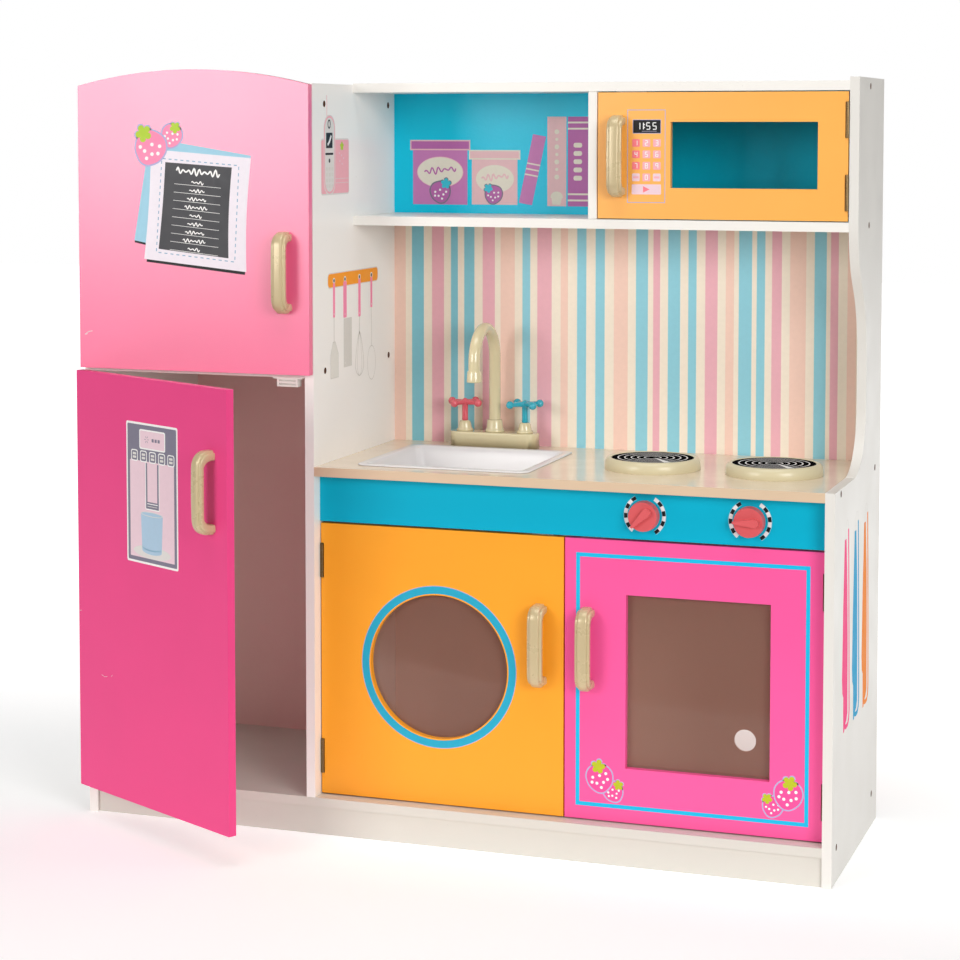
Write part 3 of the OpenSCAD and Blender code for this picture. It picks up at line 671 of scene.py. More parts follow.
def fridge_door_plane():
    """The open fridge door's front face, from its hinge edge."""
    joint = [j for j in frame["joints"] if j["name"] == "fridge_door_hinge"][0]
    pin = Vector(joint["pos_m"]).to_2d()
    turn = Matrix.Rotation(radians(joint["range_deg"][0]), 2)
    closed = Vector((LEFT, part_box("freezer_door")[0].y)) - pin
    corner = pin + turn @ closed
    right = turn @ Vector((1, 0))
    return Plane((corner.x, corner.y, 0), (right.x, right.y, 0), Z)


def hob_planes():
    """A plane on the middle of each hob disc, the left one first."""
    planes = []
    for points in islands("burner_discs"):
        low, high = points_box(points)
        middle = (low + high) / 2
        planes.append(Plane((middle.x, middle.y, high.z), X, Y))
    return planes


FREEZER = front_plane(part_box("freezer_door")[0].y)
FRIDGE = fridge_door_plane()
BASE = front_plane(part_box("washer_door")[0].y)
WALL = front_plane(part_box("microwave_door")[0].y)
SHELF_BACK = front_plane(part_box("shelf_back")[0].y)
DIVIDER_SIDE = side_plane(TOWER)
RIGHT_SIDE = side_plane(RIGHT)
LEFT_HOB, RIGHT_HOB = hob_planes()


def make_handles():
    low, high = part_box("freezer_handle")
    size = ((high.x - low.x) / MM, (high.y - low.y) / MM)
    for door, plane in (
        ("freezer", FREEZER), ("washer", BASE), ("oven", BASE), ("microwave", WALL), ("fridge", FRIDGE)
    ):
        node = door + "_handle"
        middle = sum(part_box(node), Vector()) / 2
        across = (middle - plane.origin).dot(plane.right) / MM
        make_handle(node, plane.moved(across, middle.z / MM), *size)


# ---- sink

SINK_CORNER_POINTS = 7


def rounded_loop(half_x, half_y, radius, z, middle):
    """A loop of points round a rectangle with round corners."""
    points = []
    for quarter, (sx, sy) in enumerate(((1, 1), (-1, 1), (-1, -1), (1, -1))):
        for step in range(SINK_CORNER_POINTS):
            angle = pi / 2 * (quarter + step / (SINK_CORNER_POINTS - 1))
            x = middle.x + sx * (half_x - radius) + radius * cos(angle)
            y = middle.y + sy * (half_y - radius) + radius * sin(angle)
            points.append(Vector((x, y, z)))
    return points


def make_sink():
    """A moulded tub: one skin up the outside of the bowl, over the rolled rim and down inside."""
    low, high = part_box("sink_basin")
    middle = (low + high) / 2
    half = (high - low) / 2
    counter, top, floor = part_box("counter_top")[1].z, high.z, low.z
    # Each row: how far inside the outer edge, height, corner radius
    profile = [
        (2.2, counter + 0.1 * MM, 13), (0.4, counter + 0.3 * MM, 14), (0.0, counter + 1.2 * MM, 14),
        (0.5, top - 0.5 * MM, 14), (1.6, top, 13.5), (9.5, top, 12), (11.6, top - 0.4 * MM, 11),
        (13.2, top - 2.0 * MM, 11), (14.2, top - 5 * MM, 12), (16, top - 12 * MM, 13),
        (20.5, floor + 18 * MM, 16), (23, floor + 8 * MM, 17), (27, floor + 3.6 * MM, 17),
        (34, floor + 2.0 * MM, 16), (60, floor + 1.8 * MM, 12),
    ]
    outside = [
        (60, floor, 12), (33, floor, 16), (26, floor + 1.6 * MM, 17), (21, floor + 8 * MM, 17),
        (18, floor + 20 * MM, 16), (13.6, counter - 6 * MM, 14), (12.6, counter, 13),
    ]
    shape = bmesh.new()
    skin(shape, [
        rounded_loop(half.x - inset * MM, half.y - inset * MM, radius * MM, z, middle)
        for inset, z, radius in outside + profile
    ])
    moulding(shape, "sink_basin", "sink_white", 60)


# ---- faucet and burners

PIPE_R_MM, TIP_R_MM = 8.4, 10.8
ARCH_STEPS = 28
# The collars under the taps and under the spout: radius and height above the block
BELL_MM = [
    (11.5, 0), (12.0, 0.5), (12.0, 2.1), (11.4, 3.1), (10.4, 3.5), (10.0, 5), (9.4, 8),
    (8.7, 11), (8.0, 13), (7.3, 14.2), (6.3, 14.9), (5.4, 15),
]
COLLAR_MM = [
    (13.4, 0), (14.0, 0.6), (14.0, 2.6), (13.3, 3.8), (12.5, 4.2), (12.2, 6), (11.6, 11),
    (11.0, 15.8), (11.1, 16.4), (11.0, 17.4), (10.5, 18), (8.8, 18),
]


def joint_place(node):
    """The axis point of the joint that turns a node's body."""
    body = body_and_slot(node)[0]
    joint = [j for j in frame["joints"] if j["child"] == body][0]
    return Vector(joint["pos_m"])


def make_faucet_base():
    low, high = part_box("faucet_base")
    middle, half = (low + high) / 2, (high - low) / 2
    block_top = high.z - COLLAR_MM[-1][1] * MM
    shape = bmesh.new()
    skin(shape, [
        rounded_loop(half.x - inset * MM, half.y - inset * MM, (12 - inset) * MM, z, middle)
        for inset, z in (
            (0, low.z), (0, block_top - 2.4 * MM), (0.35, block_top - 1.3 * MM),
            (1.2, block_top - 0.4 * MM), (2.4, block_top),
        )
    ])
    lathe(shape, Vector((middle.x, middle.y, block_top)), COLLAR_MM)
    for tap in ("hot_tap", "cold_tap"):
        place = joint_place(tap)
        lathe(shape, Vector((place.x, place.y, block_top)), BELL_MM)
    piece = moulding(shape, "faucet_base", "faucet_champagne", 50)
    flatten = piece.modifiers.new("flat_faces", "WEIGHTED_NORMAL")
    flatten.mode = "FACE_AREA"


def make_spout():
    """One bent pipe with a slightly wider cup at its tip."""
    low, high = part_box("spout")
    axis = joint_place("spout")
    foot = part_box("faucet_base")[1].z + 0.4 * MM
    tip_y = low.y + TIP_R_MM * MM
    bend = (axis.y - tip_y) / 2
    bend_z = high.z - PIPE_R_MM * MM - bend
    tip_top = bend_z - 12 * MM
    path = [(axis.y, foot), (axis.y, foot + 20 * MM), (axis.y, (foot + bend_z) / 2)]
    for step in range(ARCH_STEPS + 1):
        angle = pi * step / ARCH_STEPS
        path.append((axis.y - bend + bend * cos(angle), bend_z + bend * sin(angle)))
    path.append((tip_y, tip_top - 4 * MM))
    shape = bmesh.new()
    rows = []
    for i, (y, z) in enumerate(path):
        before, after = Vector(path[max(i - 1, 0)]), Vector(path[min(i + 1, len(path) - 1)])
        along = (after - before).normalized()
        up = Vector((0, -along.y, along.x))
        rows.append(circle_row(Vector((axis.x, y, z)), X, up, PIPE_R_MM * MM))
    skin(shape, rows)
    lathe(shape, Vector((axis.x, axis.y, foot)), [(6, -15), (6, 3)])
    lathe(shape, Vector((axis.x, tip_y, tip_top - 16 * MM)), [
        (6.9, 12), (6.9, 0.3), (7.5, 0), (TIP_R_MM - 0.5, 0), (TIP_R_MM, 0.5), (10.7, 2),
        (10.0, 14.6), (9.8, 15.4), (9.3, 16), (8.0, 16),
    ])
    moulding(shape, "spout", "faucet_champagne", 50)


ARM_MM, BALL_R_MM = 24.6, 5.8


def make_tap(node, material, angle):
    """A cross of four arms with a ball at each end."""
    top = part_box(node)[1].z
    place = joint_place(node)
    hub = Vector((place.x, place.y, top - 6 * MM))
    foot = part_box("faucet_base")[1].z - 2.6 * MM
    stem = (hub.z - foot) / MM
    shape = bmesh.new()
    lathe(shape, Vector((hub.x, hub.y, foot)), [
        (3, -12), (3, 0.2), (4.4, 0.2), (4.7, 0.6), (4.5, 5), (4.4, stem - 4), (5.2, stem - 1),
        (5.6, stem + 1.5), (4.8, stem + 3.6), (3.4, stem + 4.8), (1.2, stem + 5.2),
    ])
    ball(shape, hub + Z * 2.6 * MM, 3.4)
    for arm in range(4):
        turn = radians(angle + 90 * arm)
        along = Vector((cos(turn), sin(turn), 0))
        lathe(shape, hub, [(4.0, 0), (4.0, 4), (3.6, 9), (3.3, 14), (3.5, ARM_MM)], along, 24)
        ball(shape, hub + along * ARM_MM * MM, BALL_R_MM)
    moulding(shape, node, material, 50)


def make_burner_rings():
    shape = bmesh.new()
    low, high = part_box("burner_rings")
    for points in islands("burner_rings"):
        near, far = points_box(points)
        middle = (near + far) / 2
        r, h = (far.x - near.x) / 2 / MM, (far.z - near.z) / MM
        profile = [
            (r - 16, 0), (r - 0.4, 0), (r, 0.5), (r, h * 0.45), (r - 0.6, h * 0.64),
            (r - 1.7, h * 0.80), (r - 3.2, h * 0.91), (r - 5.2, h * 0.98), (r - 7.2, h),
            (r - 8.7, h - 0.1), (r - 9.2, h - 0.6), (r - 9.2, h - 3.8), (r - 16, h - 3.8),
        ]
        foot = Vector((middle.x, middle.y, low.z))
        lathe(shape, foot, profile, count=72, endless=True)
    moulding(shape, "burner_rings", "ring_champagne", 50)


def make_faucet():
    make_faucet_base()
    make_spout()
    make_tap("hot_tap", "tap_red", -20)
    make_tap("cold_tap", "tap_blue", 45)


# ---- screws

HEAD_SINK, SOCKET_R, SOCKET_DEEP = 1.8 * MM, 1.9 * MM, 1.8 * MM
HEAD_POINTS = 24


def make_screws():
    """Panel screws a little below the surface, each head with a six-sided socket."""
    shape = bmesh.new()
    for points in islands("panel_screws"):
        low, high = points_box(points)
        middle = (low + high) / 2
        head_r = (high.z - low.z) / 2
        at_low = [p for p in points if p.x - low.x < 1e-4]
        wide = max(abs(p.z - middle.z) for p in at_low) > head_r * 0.9
        outer, inward = (low.x, 1) if wide else (high.x, -1)
        shank_end = high.x if wide else low.x
        add_screw(shape, middle, outer, inward, shank_end, head_r)
    for face in shape.faces:
        face.smooth = False
    bmesh.ops.recalc_face_normals(shape, faces=shape.faces)
    mesh = finished_mesh(shape, "panel_screws_piece", [MATERIALS["screw_brown"]])
    link_piece("panel_screws_piece", mesh, "carcass", "screw_brown", "panel_screws")


def add_screw(shape, middle, outer, inward, shank_end, head_r):
    """One screw, from the bottom of its socket round its head and down its shank."""
    def loop(radius, x, sides=HEAD_POINTS):
        made = []
        for i in range(HEAD_POINTS):
            angle = 2 * pi * i / HEAD_POINTS
            sector = pi / sides
            squash = cos(sector) / cos((angle + sector) % (2 * sector) - sector)
            reach = radius * (squash if sides != HEAD_POINTS else 1)
            y = middle.y + reach * cos(angle)
            z = middle.z + reach * sin(angle)
            made.append((x, y, z))
        return made

    face = outer + inward * HEAD_SINK
    shank_r = head_r * 0.58
    skin(shape, [
        loop(SOCKET_R * 0.9, face + inward * SOCKET_DEEP, 6),
        loop(SOCKET_R, face, 6),
        loop(head_r * 0.86, face),
        loop(head_r * 0.92, outer + inward * 0.2 * MM),
        loop(head_r, outer + inward * 0.1 * MM),
        loop(head_r, outer + inward * 3 * MM),
        loop(shank_r, outer + inward * 3.2 * MM),
        loop(shank_r, shank_end),
    ])


# ---- printing

LAYER_MM = 0.06
# How far a pane reaches behind the edge of its opening
PANE_LAP_MM = 9


def arc(middle, radius_u, radius_v, start, end, steps):
    """Points on an ellipse from the start angle to the end angle, in degrees."""
    points = []
    for step in range(steps + 1):
        angle = radians(start + (end - start) * step / steps)
        points.append((middle[0] + radius_u * cos(angle), middle[1] + radius_v * sin(angle)))
    return points


def ellipse(u, v, radius_u, radius_v=None, tilt=0, steps=36):
    points = arc((0, 0), radius_u, radius_v or radius_u, 0, 360, steps)[:-1]
    return turned(points, tilt, u, v)


def turned(points, angle, u=0.0, v=0.0):
    """Points turned about the origin and then moved to (u, v)."""
    c, s = cos(radians(angle)), sin(radians(angle))
    return [(u + a * c - b * s, v + a * s + b * c) for a, b in points]


def rect(u0, v0, u1, v1, radius=0.0, steps=5):
    if not radius:
        return [(u0, v0), (u1, v0), (u1, v1), (u0, v1)]
    points = []
    corners = [(u1, v1, 0), (u0, v1, 90), (u0, v0, 180), (u1, v0, 270)]
    for u, v, start in corners:
        middle = (
            u - radius if u == u1 else u + radius,
            v - radius if v == v1 else v + radius,
        )
        points += arc(middle, radius, radius, start, start + 90, steps)
    return points


def smooth(points, steps=6):
    """A closed curve through the points."""
    made = []
    count = len(points)
    for i in range(count):
        p = [Vector(points[(i + k) % count]) for k in (-1, 0, 1, 2)]
        for step in range(steps):
            t = step / steps
            made.append(tuple(
                0.5 * (2 * p[1] + (p[2] - p[0]) * t
                       + (2 * p[0] - 5 * p[1] + 4 * p[2] - p[3]) * t * t
                       + (3 * p[1] - p[0] - 3 * p[2] + p[3]) * t**3)
            ))
    return made


def squiggle(u, v, length, height, waves, tilt=0.0):
    """A wavy line that suggests handwriting and spells nothing."""
    count = waves * 8
    points = []
    for i in range(count + 1):
        swing = 0.6 + 0.4 * sin(1.7 * i / 8 + waves)
        rise = height / 2 * sin(2 * pi * waves * i / count) * swing
        points.append((length * (i / count - 0.5), rise))
    return turned(points, tilt, u, v)


class Print:
    """Printed shapes on a plane. A shape on a higher layer lies over those below it."""

    def __init__(self, name, body, slot, plane):
        self.name, self.body, self.slot, self.plane = name, body, slot, plane
        self.shape = bmesh.new()
        self.inks = []

    def solid(self, ink_name, rows, endless=False):
        """A very thin solid, skinned over rows of points."""
        if ink_name not in self.inks:
            self.inks.append(ink_name)
        made = skin(self.shape, rows, endless)
        for face in made:
            face.material_index = self.inks.index(ink_name)
        bmesh.ops.recalc_face_normals(self.shape, faces=made)

    def face_and_back(self, loop, layer):
        """A loop's points on the face of its layer, and on the plane itself."""
        top_out = (layer + 1) * LAYER_MM
        return [[self.plane.point(u, v, out) for u, v in loop] for out in (top_out, 0)]

    def fill(self, ink_name, outline, layer=0):
        self.solid(ink_name, self.face_and_back(outline, layer))

    def boxes(self, *rows):
        """Rectangles, each given as ink, layer, left, low, right, high and corner radius."""
        for ink_name, layer, *sides in rows:
            self.fill(ink_name, rect(*sides), layer)

    def ring(self, ink_name, outer, inner, layer=0):
        loops = self.face_and_back(outer, layer) + self.face_and_back(inner, layer)[::-1]
        self.solid(ink_name, loops, endless=True)

    def stroke(self, ink_name, points, width, layer=0):
        """A line of even width along the points."""
        rows = []
        for i, point in enumerate(points):
            before = Vector(points[max(i - 1, 0)])
            after = Vector(points[min(i + 1, len(points) - 1)])
            along = (after - before).normalized()
            across = Vector((-along.y, along.x)) * width / 2
            top, bottom = self.face_and_back((Vector(point) + across, Vector(point) - across), layer)
            rows.append(top + bottom[::-1])
        self.solid(ink_name, rows)

    def dots(self, ink_name, places, radius, layer):
        for u, v in places:
            self.fill(ink_name, ellipse(u, v, radius, steps=14), layer)

    def finish(self):
        materials = [INK_MATERIALS[ink_name] for ink_name in self.inks]
        mesh = finished_mesh(self.shape, self.name, materials)
        link_piece(self.name, mesh, self.body, self.slot)


BERRY_DOTS = [(-0.52, 0.12), (0.02, 0.22), (0.52, 0.34), (-0.26, -0.34), (0.26, -0.30),
              (0.60, -0.10), (0.04, -0.68), (-0.62, -0.24)]
BERRY_OUTLINE = [(0.0, 1.0), (0.62, 0.86), (0.98, 0.30), (0.86, -0.42), (0.40, -0.92),
                 (0.0, -1.05), (-0.40, -0.92), (-0.86, -0.42), (-0.98, 0.30), (-0.62, 0.86)]
PETALS = 5


def leaf_outline(u, v, radius, tilt):
    """Five round petals round a middle."""
    points = []
    for step in range(PETALS * 10):
        angle = 2 * pi * step / (PETALS * 10)
        reach = radius * (0.58 + 0.42 * abs(cos(PETALS * angle / 2)) ** 0.6)
        points.append((reach * cos(angle), reach * sin(angle)))
    return turned(points, tilt, u, v)


def draw_berry(page, u, v, radius, tilt, leaf, flesh="berry_pink", leaf_ink="leaf",
               line="lilac", layer=4):
    """A round strawberry with white seeds; leaf is where its leaves sit."""
    rim = 1.10 if radius > 17 else 1.14
    outline = [(a * radius * rim, b * radius * rim) for a, b in BERRY_OUTLINE]
    page.fill(line, smooth(turned(outline, tilt, u, v), 4), layer)
    page.fill(line, leaf_outline(*leaf, radius * 0.63, tilt), layer)
    inside = [(a * radius, b * radius) for a, b in BERRY_OUTLINE]
    page.fill(flesh, smooth(turned(inside, tilt, u, v), 4), layer + 1)
    page.fill(leaf_ink, leaf_outline(*leaf, radius * 0.53, tilt), layer + 2)
    seeds = turned([(a * radius, b * radius) for a, b in BERRY_DOTS], tilt, u, v)
    clear = [s for s in seeds if (Vector(s) - Vector(leaf)).length > radius * 0.55]
    page.dots("white", clear, radius * 0.115, layer + 2)


SEGMENTS = {
    "a": ((0, 2), (1, 2)), "b": ((1, 2), (1, 1)), "c": ((1, 1), (1, 0)), "d": ((0, 0), (1, 0)),
    "e": ((0, 1), (0, 0)), "f": ((0, 2), (0, 1)), "g": ((0, 1), (1, 1)),
}
# The segments that each digit from 0 to 9 lights
DIGITS = ["abcdef", "bc", "abged", "abgcd", "fgbc", "afgcd", "afgedc", "abc", "abcdefg", "abcfg"]


def draw_digit(page, number, u, v, height, ink_name, layer):
    """A plain seven-segment digit with its middle at (u, v)."""
    wide, stroke = height * 0.5, height * 0.15
    for key in DIGITS[number]:
        ends = [(u + (a - 0.5) * wide, v + (b - 1) * height / 2) for a, b in SEGMENTS[key]]
        page.stroke(ink_name, ends, stroke, layer)


def across_quad(quad, s, t):
    """A point inside a four-cornered sheet: s to the right and t down, from 0 to 1."""
    tl, tr, br, bl = [Vector(p) for p in quad]
    return tuple((tl * (1 - s) + tr * s) * (1 - t) + (bl * (1 - s) + br * s) * t)


def draw_freezer(page):
    """Two sheets under strawberry magnets, the upper with a slate full of wavy lines."""
    page.fill("black", [(88, 826), (106, 822.5), (107, 827), (88.6, 831)], 0)
    page.fill("sky", [(113, 973), (268, 948.5), (240, 800), (87.6, 829)], 1)
    sheet = [(115, 957), (268, 945), (260, 787.5), (103, 803)]
    page.fill("black", [(106.5, 799), (258, 783.5), (258.5, 789), (107, 803.5)], 1)
    page.fill("sheet_white", curled(sheet, 0.012), 2)
    dashes(page, sheet)
    board = [(137, 939), (239, 932), (233, 806), (125.5, 817.5)]
    page.fill("slate", curled(board, 0.010), 3)
    tilt = -4.2
    title = across_quad(board, 0.5, 0.085)
    page.stroke("white", squiggle(*title, 66, 10.5, 8, tilt), 2.3, 4)
    for row in range(9):
        t = 0.215 + 0.094 * row
        start, end = across_quad(board, 0.16, t + 0.022), across_quad(board, 0.85, t + 0.022)
        page.stroke("white", [start, end], 0.55, 4)
        word = across_quad(board, 0.5, t - 0.012)
        length = 18 + 11 * ((row * 5) % 4) / 2
        page.stroke("white", squiggle(*word, length, 5.4, 3 + (row * 5) % 4, tilt), 1.4, 4)
    draw_berry(page, 147, 975.5, 15.5, -20, (152.5, 987), layer=3)
    draw_berry(page, 114, 959, 23.5, -25, (103.5, 979), layer=6)
    for wear in ([(8, 694), (14, 698), (20, 699)], [(9, 693.5), (12, 695)]):
        page.stroke("mist", wear, 0.8, 0)


def curled(quad, depth):
    """The outline of a sheet whose two long sides bend in a little."""
    bends = [sin(pi * i / 8) for i in range(9)]
    left = [across_quad(quad, depth * bend, i / 8) for i, bend in enumerate(bends)]
    right = [across_quad(quad, 1 - 0.02 * bend, 1 - i / 8) for i, bend in enumerate(bends)]
    return left + right


def dashes(page, sheet):
    """The dashed line inside the sheet's edges."""
    inset_s, inset_t = 0.115, 0.075
    corners = [(inset_s, inset_t), (1 - inset_s, inset_t), (1 - inset_s, 1 - inset_t),
               (inset_s, 1 - inset_t)]
    counts = [13, 15, 13, 15]
    for i, count in enumerate(counts):
        first, second = Vector(corners[i]), Vector(corners[(i + 1) % 4])
        for dash in range(count):
            start = first.lerp(second, (dash + 0.15) / count)
            end = first.lerp(second, (dash + 0.65) / count)
            line = [across_quad(sheet, *start), across_quad(sheet, *end)]
            page.stroke("dash_blue", line, 1.3, 3)


def draw_fridge(page):
    """A drink dispenser: a sheet with a row of buttons over a cup in a niche."""
    page.boxes(("white", 0, 123, 385.5, 244, 581.5, 3))
    for wear in ([(56, 212), (64, 210), (70, 211.5)], [(80, 213), (83, 216)], [(2, 296), (7, 297)]):
        page.stroke("mist", wear, 0.5, 0)
    page.boxes(
        ("grey", 1, 126, 388.5, 241, 578.5, 2),
        ("pale_pink", 2, 131.5, 394, 235.5, 528.5, 1),
        ("white", 2, 154.5, 545, 215.5, 572.5, 3),
        ("pale_pink", 3, 156.5, 547, 213.5, 570.5, 2),
    )
    for angle in range(0, 360, 60):
        page.stroke("grey", turned([(2, 0), (5.2, 0)], angle, 172, 559), 0.7, 4)
    page.boxes(*[("grey", 4, u, 556.5, u + 5, 561, 0.8) for u in (184, 191, 198)])
    for button in range(5):
        u = 142.5 + button * 21.5
        outer, inner = rect(u - 8, 527, u + 8, 543, 3.5), rect(u - 6.6, 528.4, u + 6.6, 541.6, 2.8)
        page.ring("white", outer, inner, 3)
        page.boxes(*[("mist", 3, u - 4, v, u + 4, v + 3.2, 0.8) for v in (535.8, 531)])
    page.boxes(
        ("white", 3, 168, 462, 201, 526.5, 1),
        ("grey", 4, 169.5, 463.5, 199.7, 526.5, 0.5),
        ("pale_pink", 5, 173, 473, 196.2, 526.5, 0.5),
        ("white", 5, 172.5, 469.8, 196.8, 471, 0.2),
        ("mist", 5, 173, 466.5, 196, 467.3, 0.2),
    )
    page.fill("mist", ellipse(183, 403, 44, 9), 3)
    cup = [(157, 456), (208.5, 456)] + arc((182.6, 405), 23, 5, 0, -180, 12)
    page.fill("cup_blue", cup, 4)
    page.fill("mist", ellipse(182.8, 456, 25.8, 3.4), 5)
    page.fill("cup_blue", ellipse(182.8, 456, 24.2, 2.4), 6)
    base_low, base_high = [
        arc((182.6, v), 22, 4, 0, -180, 12) + arc((182.6, v), 22, 4, -180, 0, 12)
        for v in (409, 410.2)
    ]
    page.ring("sky", base_low, base_high, 5)


def draw_washer(page):
    """The blue ring round the porthole."""
    low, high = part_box("washer_window")
    middle = ((low.x + high.x) / 2 - LEFT) / MM, (low.z + high.z) / 2 / MM
    hole = (high.x - low.x) / 2 / MM - PANE_LAP_MM
    for layer, (ink_name, outer, inner) in enumerate((("lilac", 13.2, 12.2), ("ring_blue", 12.3, 1.9))):
        loops = [ellipse(*middle, hole + wide, steps=96) for wide in (outer, inner)]
        page.ring(ink_name, *loops, layer)


def draw_oven(page):
    """A blue frame, with two strawberries in each lower corner."""
    page.ring("line_blue", rect(727, 73, 1045, 418), rect(732.5, 78.5, 1039.5, 412.5), 0)
    for u, v, radius, tilt, leaf, layer in (
        (780, 95.5, 13.2, 25, (787, 105), 1),
        (761, 112, 18.2, 8, (759, 128), 4),
        (997.5, 96, 13.2, -15, (990, 106), 1),
        (1018, 113, 18.6, -8, (1020, 129), 4),
    ):
        draw_berry(page, u, v, radius, tilt, leaf, "berry_deep", "olive_leaf", layer=layer)


def draw_microwave(page):
    """A clock over a keypad with ten digits and a start key."""
    page.ring("lilac", rect(760.3, 884, 814.4, 1011.8), rect(761.3, 885, 813.4, 1010.8), 0)
    page.boxes(
        ("lilac", 0, 768, 979, 808, 998.2, 0.5),
        ("black", 1, 768.7, 979.7, 807.3, 997.5, 0.3),
    )
    for number, u in ((1, 776), (1, 781), (5, 790), (5, 799)):
        draw_digit(page, number, u, 989.3, 9, "dial_white", 2)
    page.dots("dial_white", [(784.6, 991.2), (784.6, 987.4)], 0.8, 2)
    page.boxes(("grey", 2, 781, 981.6, 802, 982.6))
    columns, last_row = (772.8, 787.6, 802.4), 919
    for row, v in enumerate((966.2, 950.6, 934.9)):
        for column, u in enumerate(columns):
            draw_key(page, "rose" if column else "key_pink", u, v)
            draw_digit(page, row * 3 + column + 1, u, v, 6.4, "white", 2)
    for u, ink_name in zip(columns, ("pale_pink", "rose", "pale_pink")):
        draw_key(page, ink_name, u, last_row)
    draw_digit(page, 0, columns[1], last_row, 6.4, "white", 2)
    for u in (columns[0], columns[2]):
        page.boxes(("rose", 2, u - 3.8, last_row - 1.4, u + 3.8, last_row + 1.4, 0.6))
    page.boxes(("pale_pink", 1, 767, 895.6, 808.4, 909.4, 1.2))
    page.fill("key_pink", [(783, 898), (783, 907), (792.5, 902.5)], 2)


def draw_key(page, ink_name, u, v):
    page.boxes((ink_name, 1, u - 5.4, v - 5.3, u + 5.4, v + 5.3, 1.4))


DIAL_INNER_MM, DIAL_OUTER_MM, DIAL_HEIGHT_MM = 24.0, 28.6, 472.5
DASHES = 8


def draw_dials(page):
    """Two arcs of black and white marks round each knob."""
    for node in ("knob_left", "knob_right"):
        low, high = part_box(node)
        u, v = ((low.x + high.x) / 2 - LEFT) / MM, DIAL_HEIGHT_MM
        for start, span, first in ((60, -118, 0), (118, 114, 1)):
            step = span / DASHES
            for i in range(DASHES):
                a, b = start + step * i, start + step * (i + 1)
                outline = arc((u, v), DIAL_OUTER_MM, DIAL_OUTER_MM, a, b, 4)
                outline += arc((u, v), DIAL_INNER_MM, DIAL_INNER_MM, b, a, 4)
                page.fill("black" if (i + first) % 2 else "dial_white", outline, 1)
            outer, inner = DIAL_OUTER_MM + 0.6, DIAL_INNER_MM - 0.5
            outline = arc((u, v), outer, outer, start, start + span, 24)
            outline += arc((u, v), inner, inner, start + span, start, 24)
            page.fill("sky", outline, 0)


def draw_hob(page):
    """The rings of a hob's coil, with one bright spoke."""
    low, high = points_box(islands("burner_discs")[0])
    reach = (high.x - low.x) / 2 / MM
    for share in (0.20, 0.36, 0.52, 0.68, 0.84):
        radius = reach * share
        outer, inner = (ellipse(0, 0, radius + wide, steps=64) for wide in (0.9, -0.9))
        page.ring("hob_line", outer, inner, 0)
    spoke = [(3, -2), (reach * 0.62, -reach * 0.66), (reach * 0.48, -reach * 0.76)]
    page.fill("hob_line", spoke, 1)


def draw_shelf_back(page):
    """Two canisters, a leaning book and two upright ones."""
    oval = (427, 921, 35.5, 22)
    draw_canister(page, (384, 873, 470, 954.5), 14.2, ("purple", "blush", "plum"), oval)
    draw_berry(page, 427.4, 891.5, 15, 12, (436, 904), "plum", "leaf_blue", "grey", 4)
    oval = (513, 911.5, 29.6, 20.7)
    draw_canister(page, (477, 873.5, 548, 941), 13, ("blush", "ivory", "blush"), oval)
    draw_berry(page, 511, 888.5, 12.8, -12, (503, 897.5), "plum", "leaf_blue", "grey", 4)
    leaning = [(572, 977.5), (592, 973.8), (570.5, 873.3), (550.3, 876.8)]
    page.fill("purple", leaning, 0)
    for t in (0.42, 0.50, 0.58):
        page.stroke("ivory", [across_quad(leaning, 0, t), across_quad(leaning, 1, t)], 2.2, 1)
    page.boxes(("blush", 0, 594, 872.3, 623, 1003))
    for i in range(7):
        page.fill("ivory", ellipse(608.5, 915 + i * 11, 3.6 - 1.2 * (i % 2)), 1)
    cupcake = [(602, 874.5), (614, 874.5), (616.5, 884)] + arc((608.5, 885), 9.6, 9, 0, 180, 12)
    page.fill("ivory", cupcake + [(600.5, 884)], 1)
    page.boxes(
        ("plum", 0, 625.3, 872.3, 656, 1003),
        *[("ivory", 1, 625.3, v - 1.3, 656, v + 1.3) for v in (985.5, 994.5, 881, 890)],
        *[("ivory", 1, 634, 910 + i * 12, 647, 917 + i * 12, 3) for i in range(5)],
    )


def draw_canister(page, sides, lid, inks, label):
    """A canister with an overhanging lid and an oval label. The inks are the can's, the lid's
    and the one for the lid's face and the writing."""
    can_ink, lid_ink, line_ink = inks
    middle, half, top = (sides[0] + sides[2]) / 2, (sides[2] - sides[0]) / 2 + 4.5, sides[3]
    page.boxes(
        (can_ink, 0, *sides),
        (lid_ink, 1, middle - half, top - 1, middle + half, top + lid),
        (line_ink, 2, middle - half + 2, top + 1, middle + half - 2, top + lid - 2),
    )
    u, v, radius_u, radius_v = label
    page.fill("blush", ellipse(u, v, radius_u + 1, radius_v + 1), 1)
    page.fill("ivory", ellipse(u, v, radius_u, radius_v), 2)
    page.stroke(line_ink, squiggle(u, v + 3, radius_u * 1.4, 11, 5, 6), 2.2, 3)


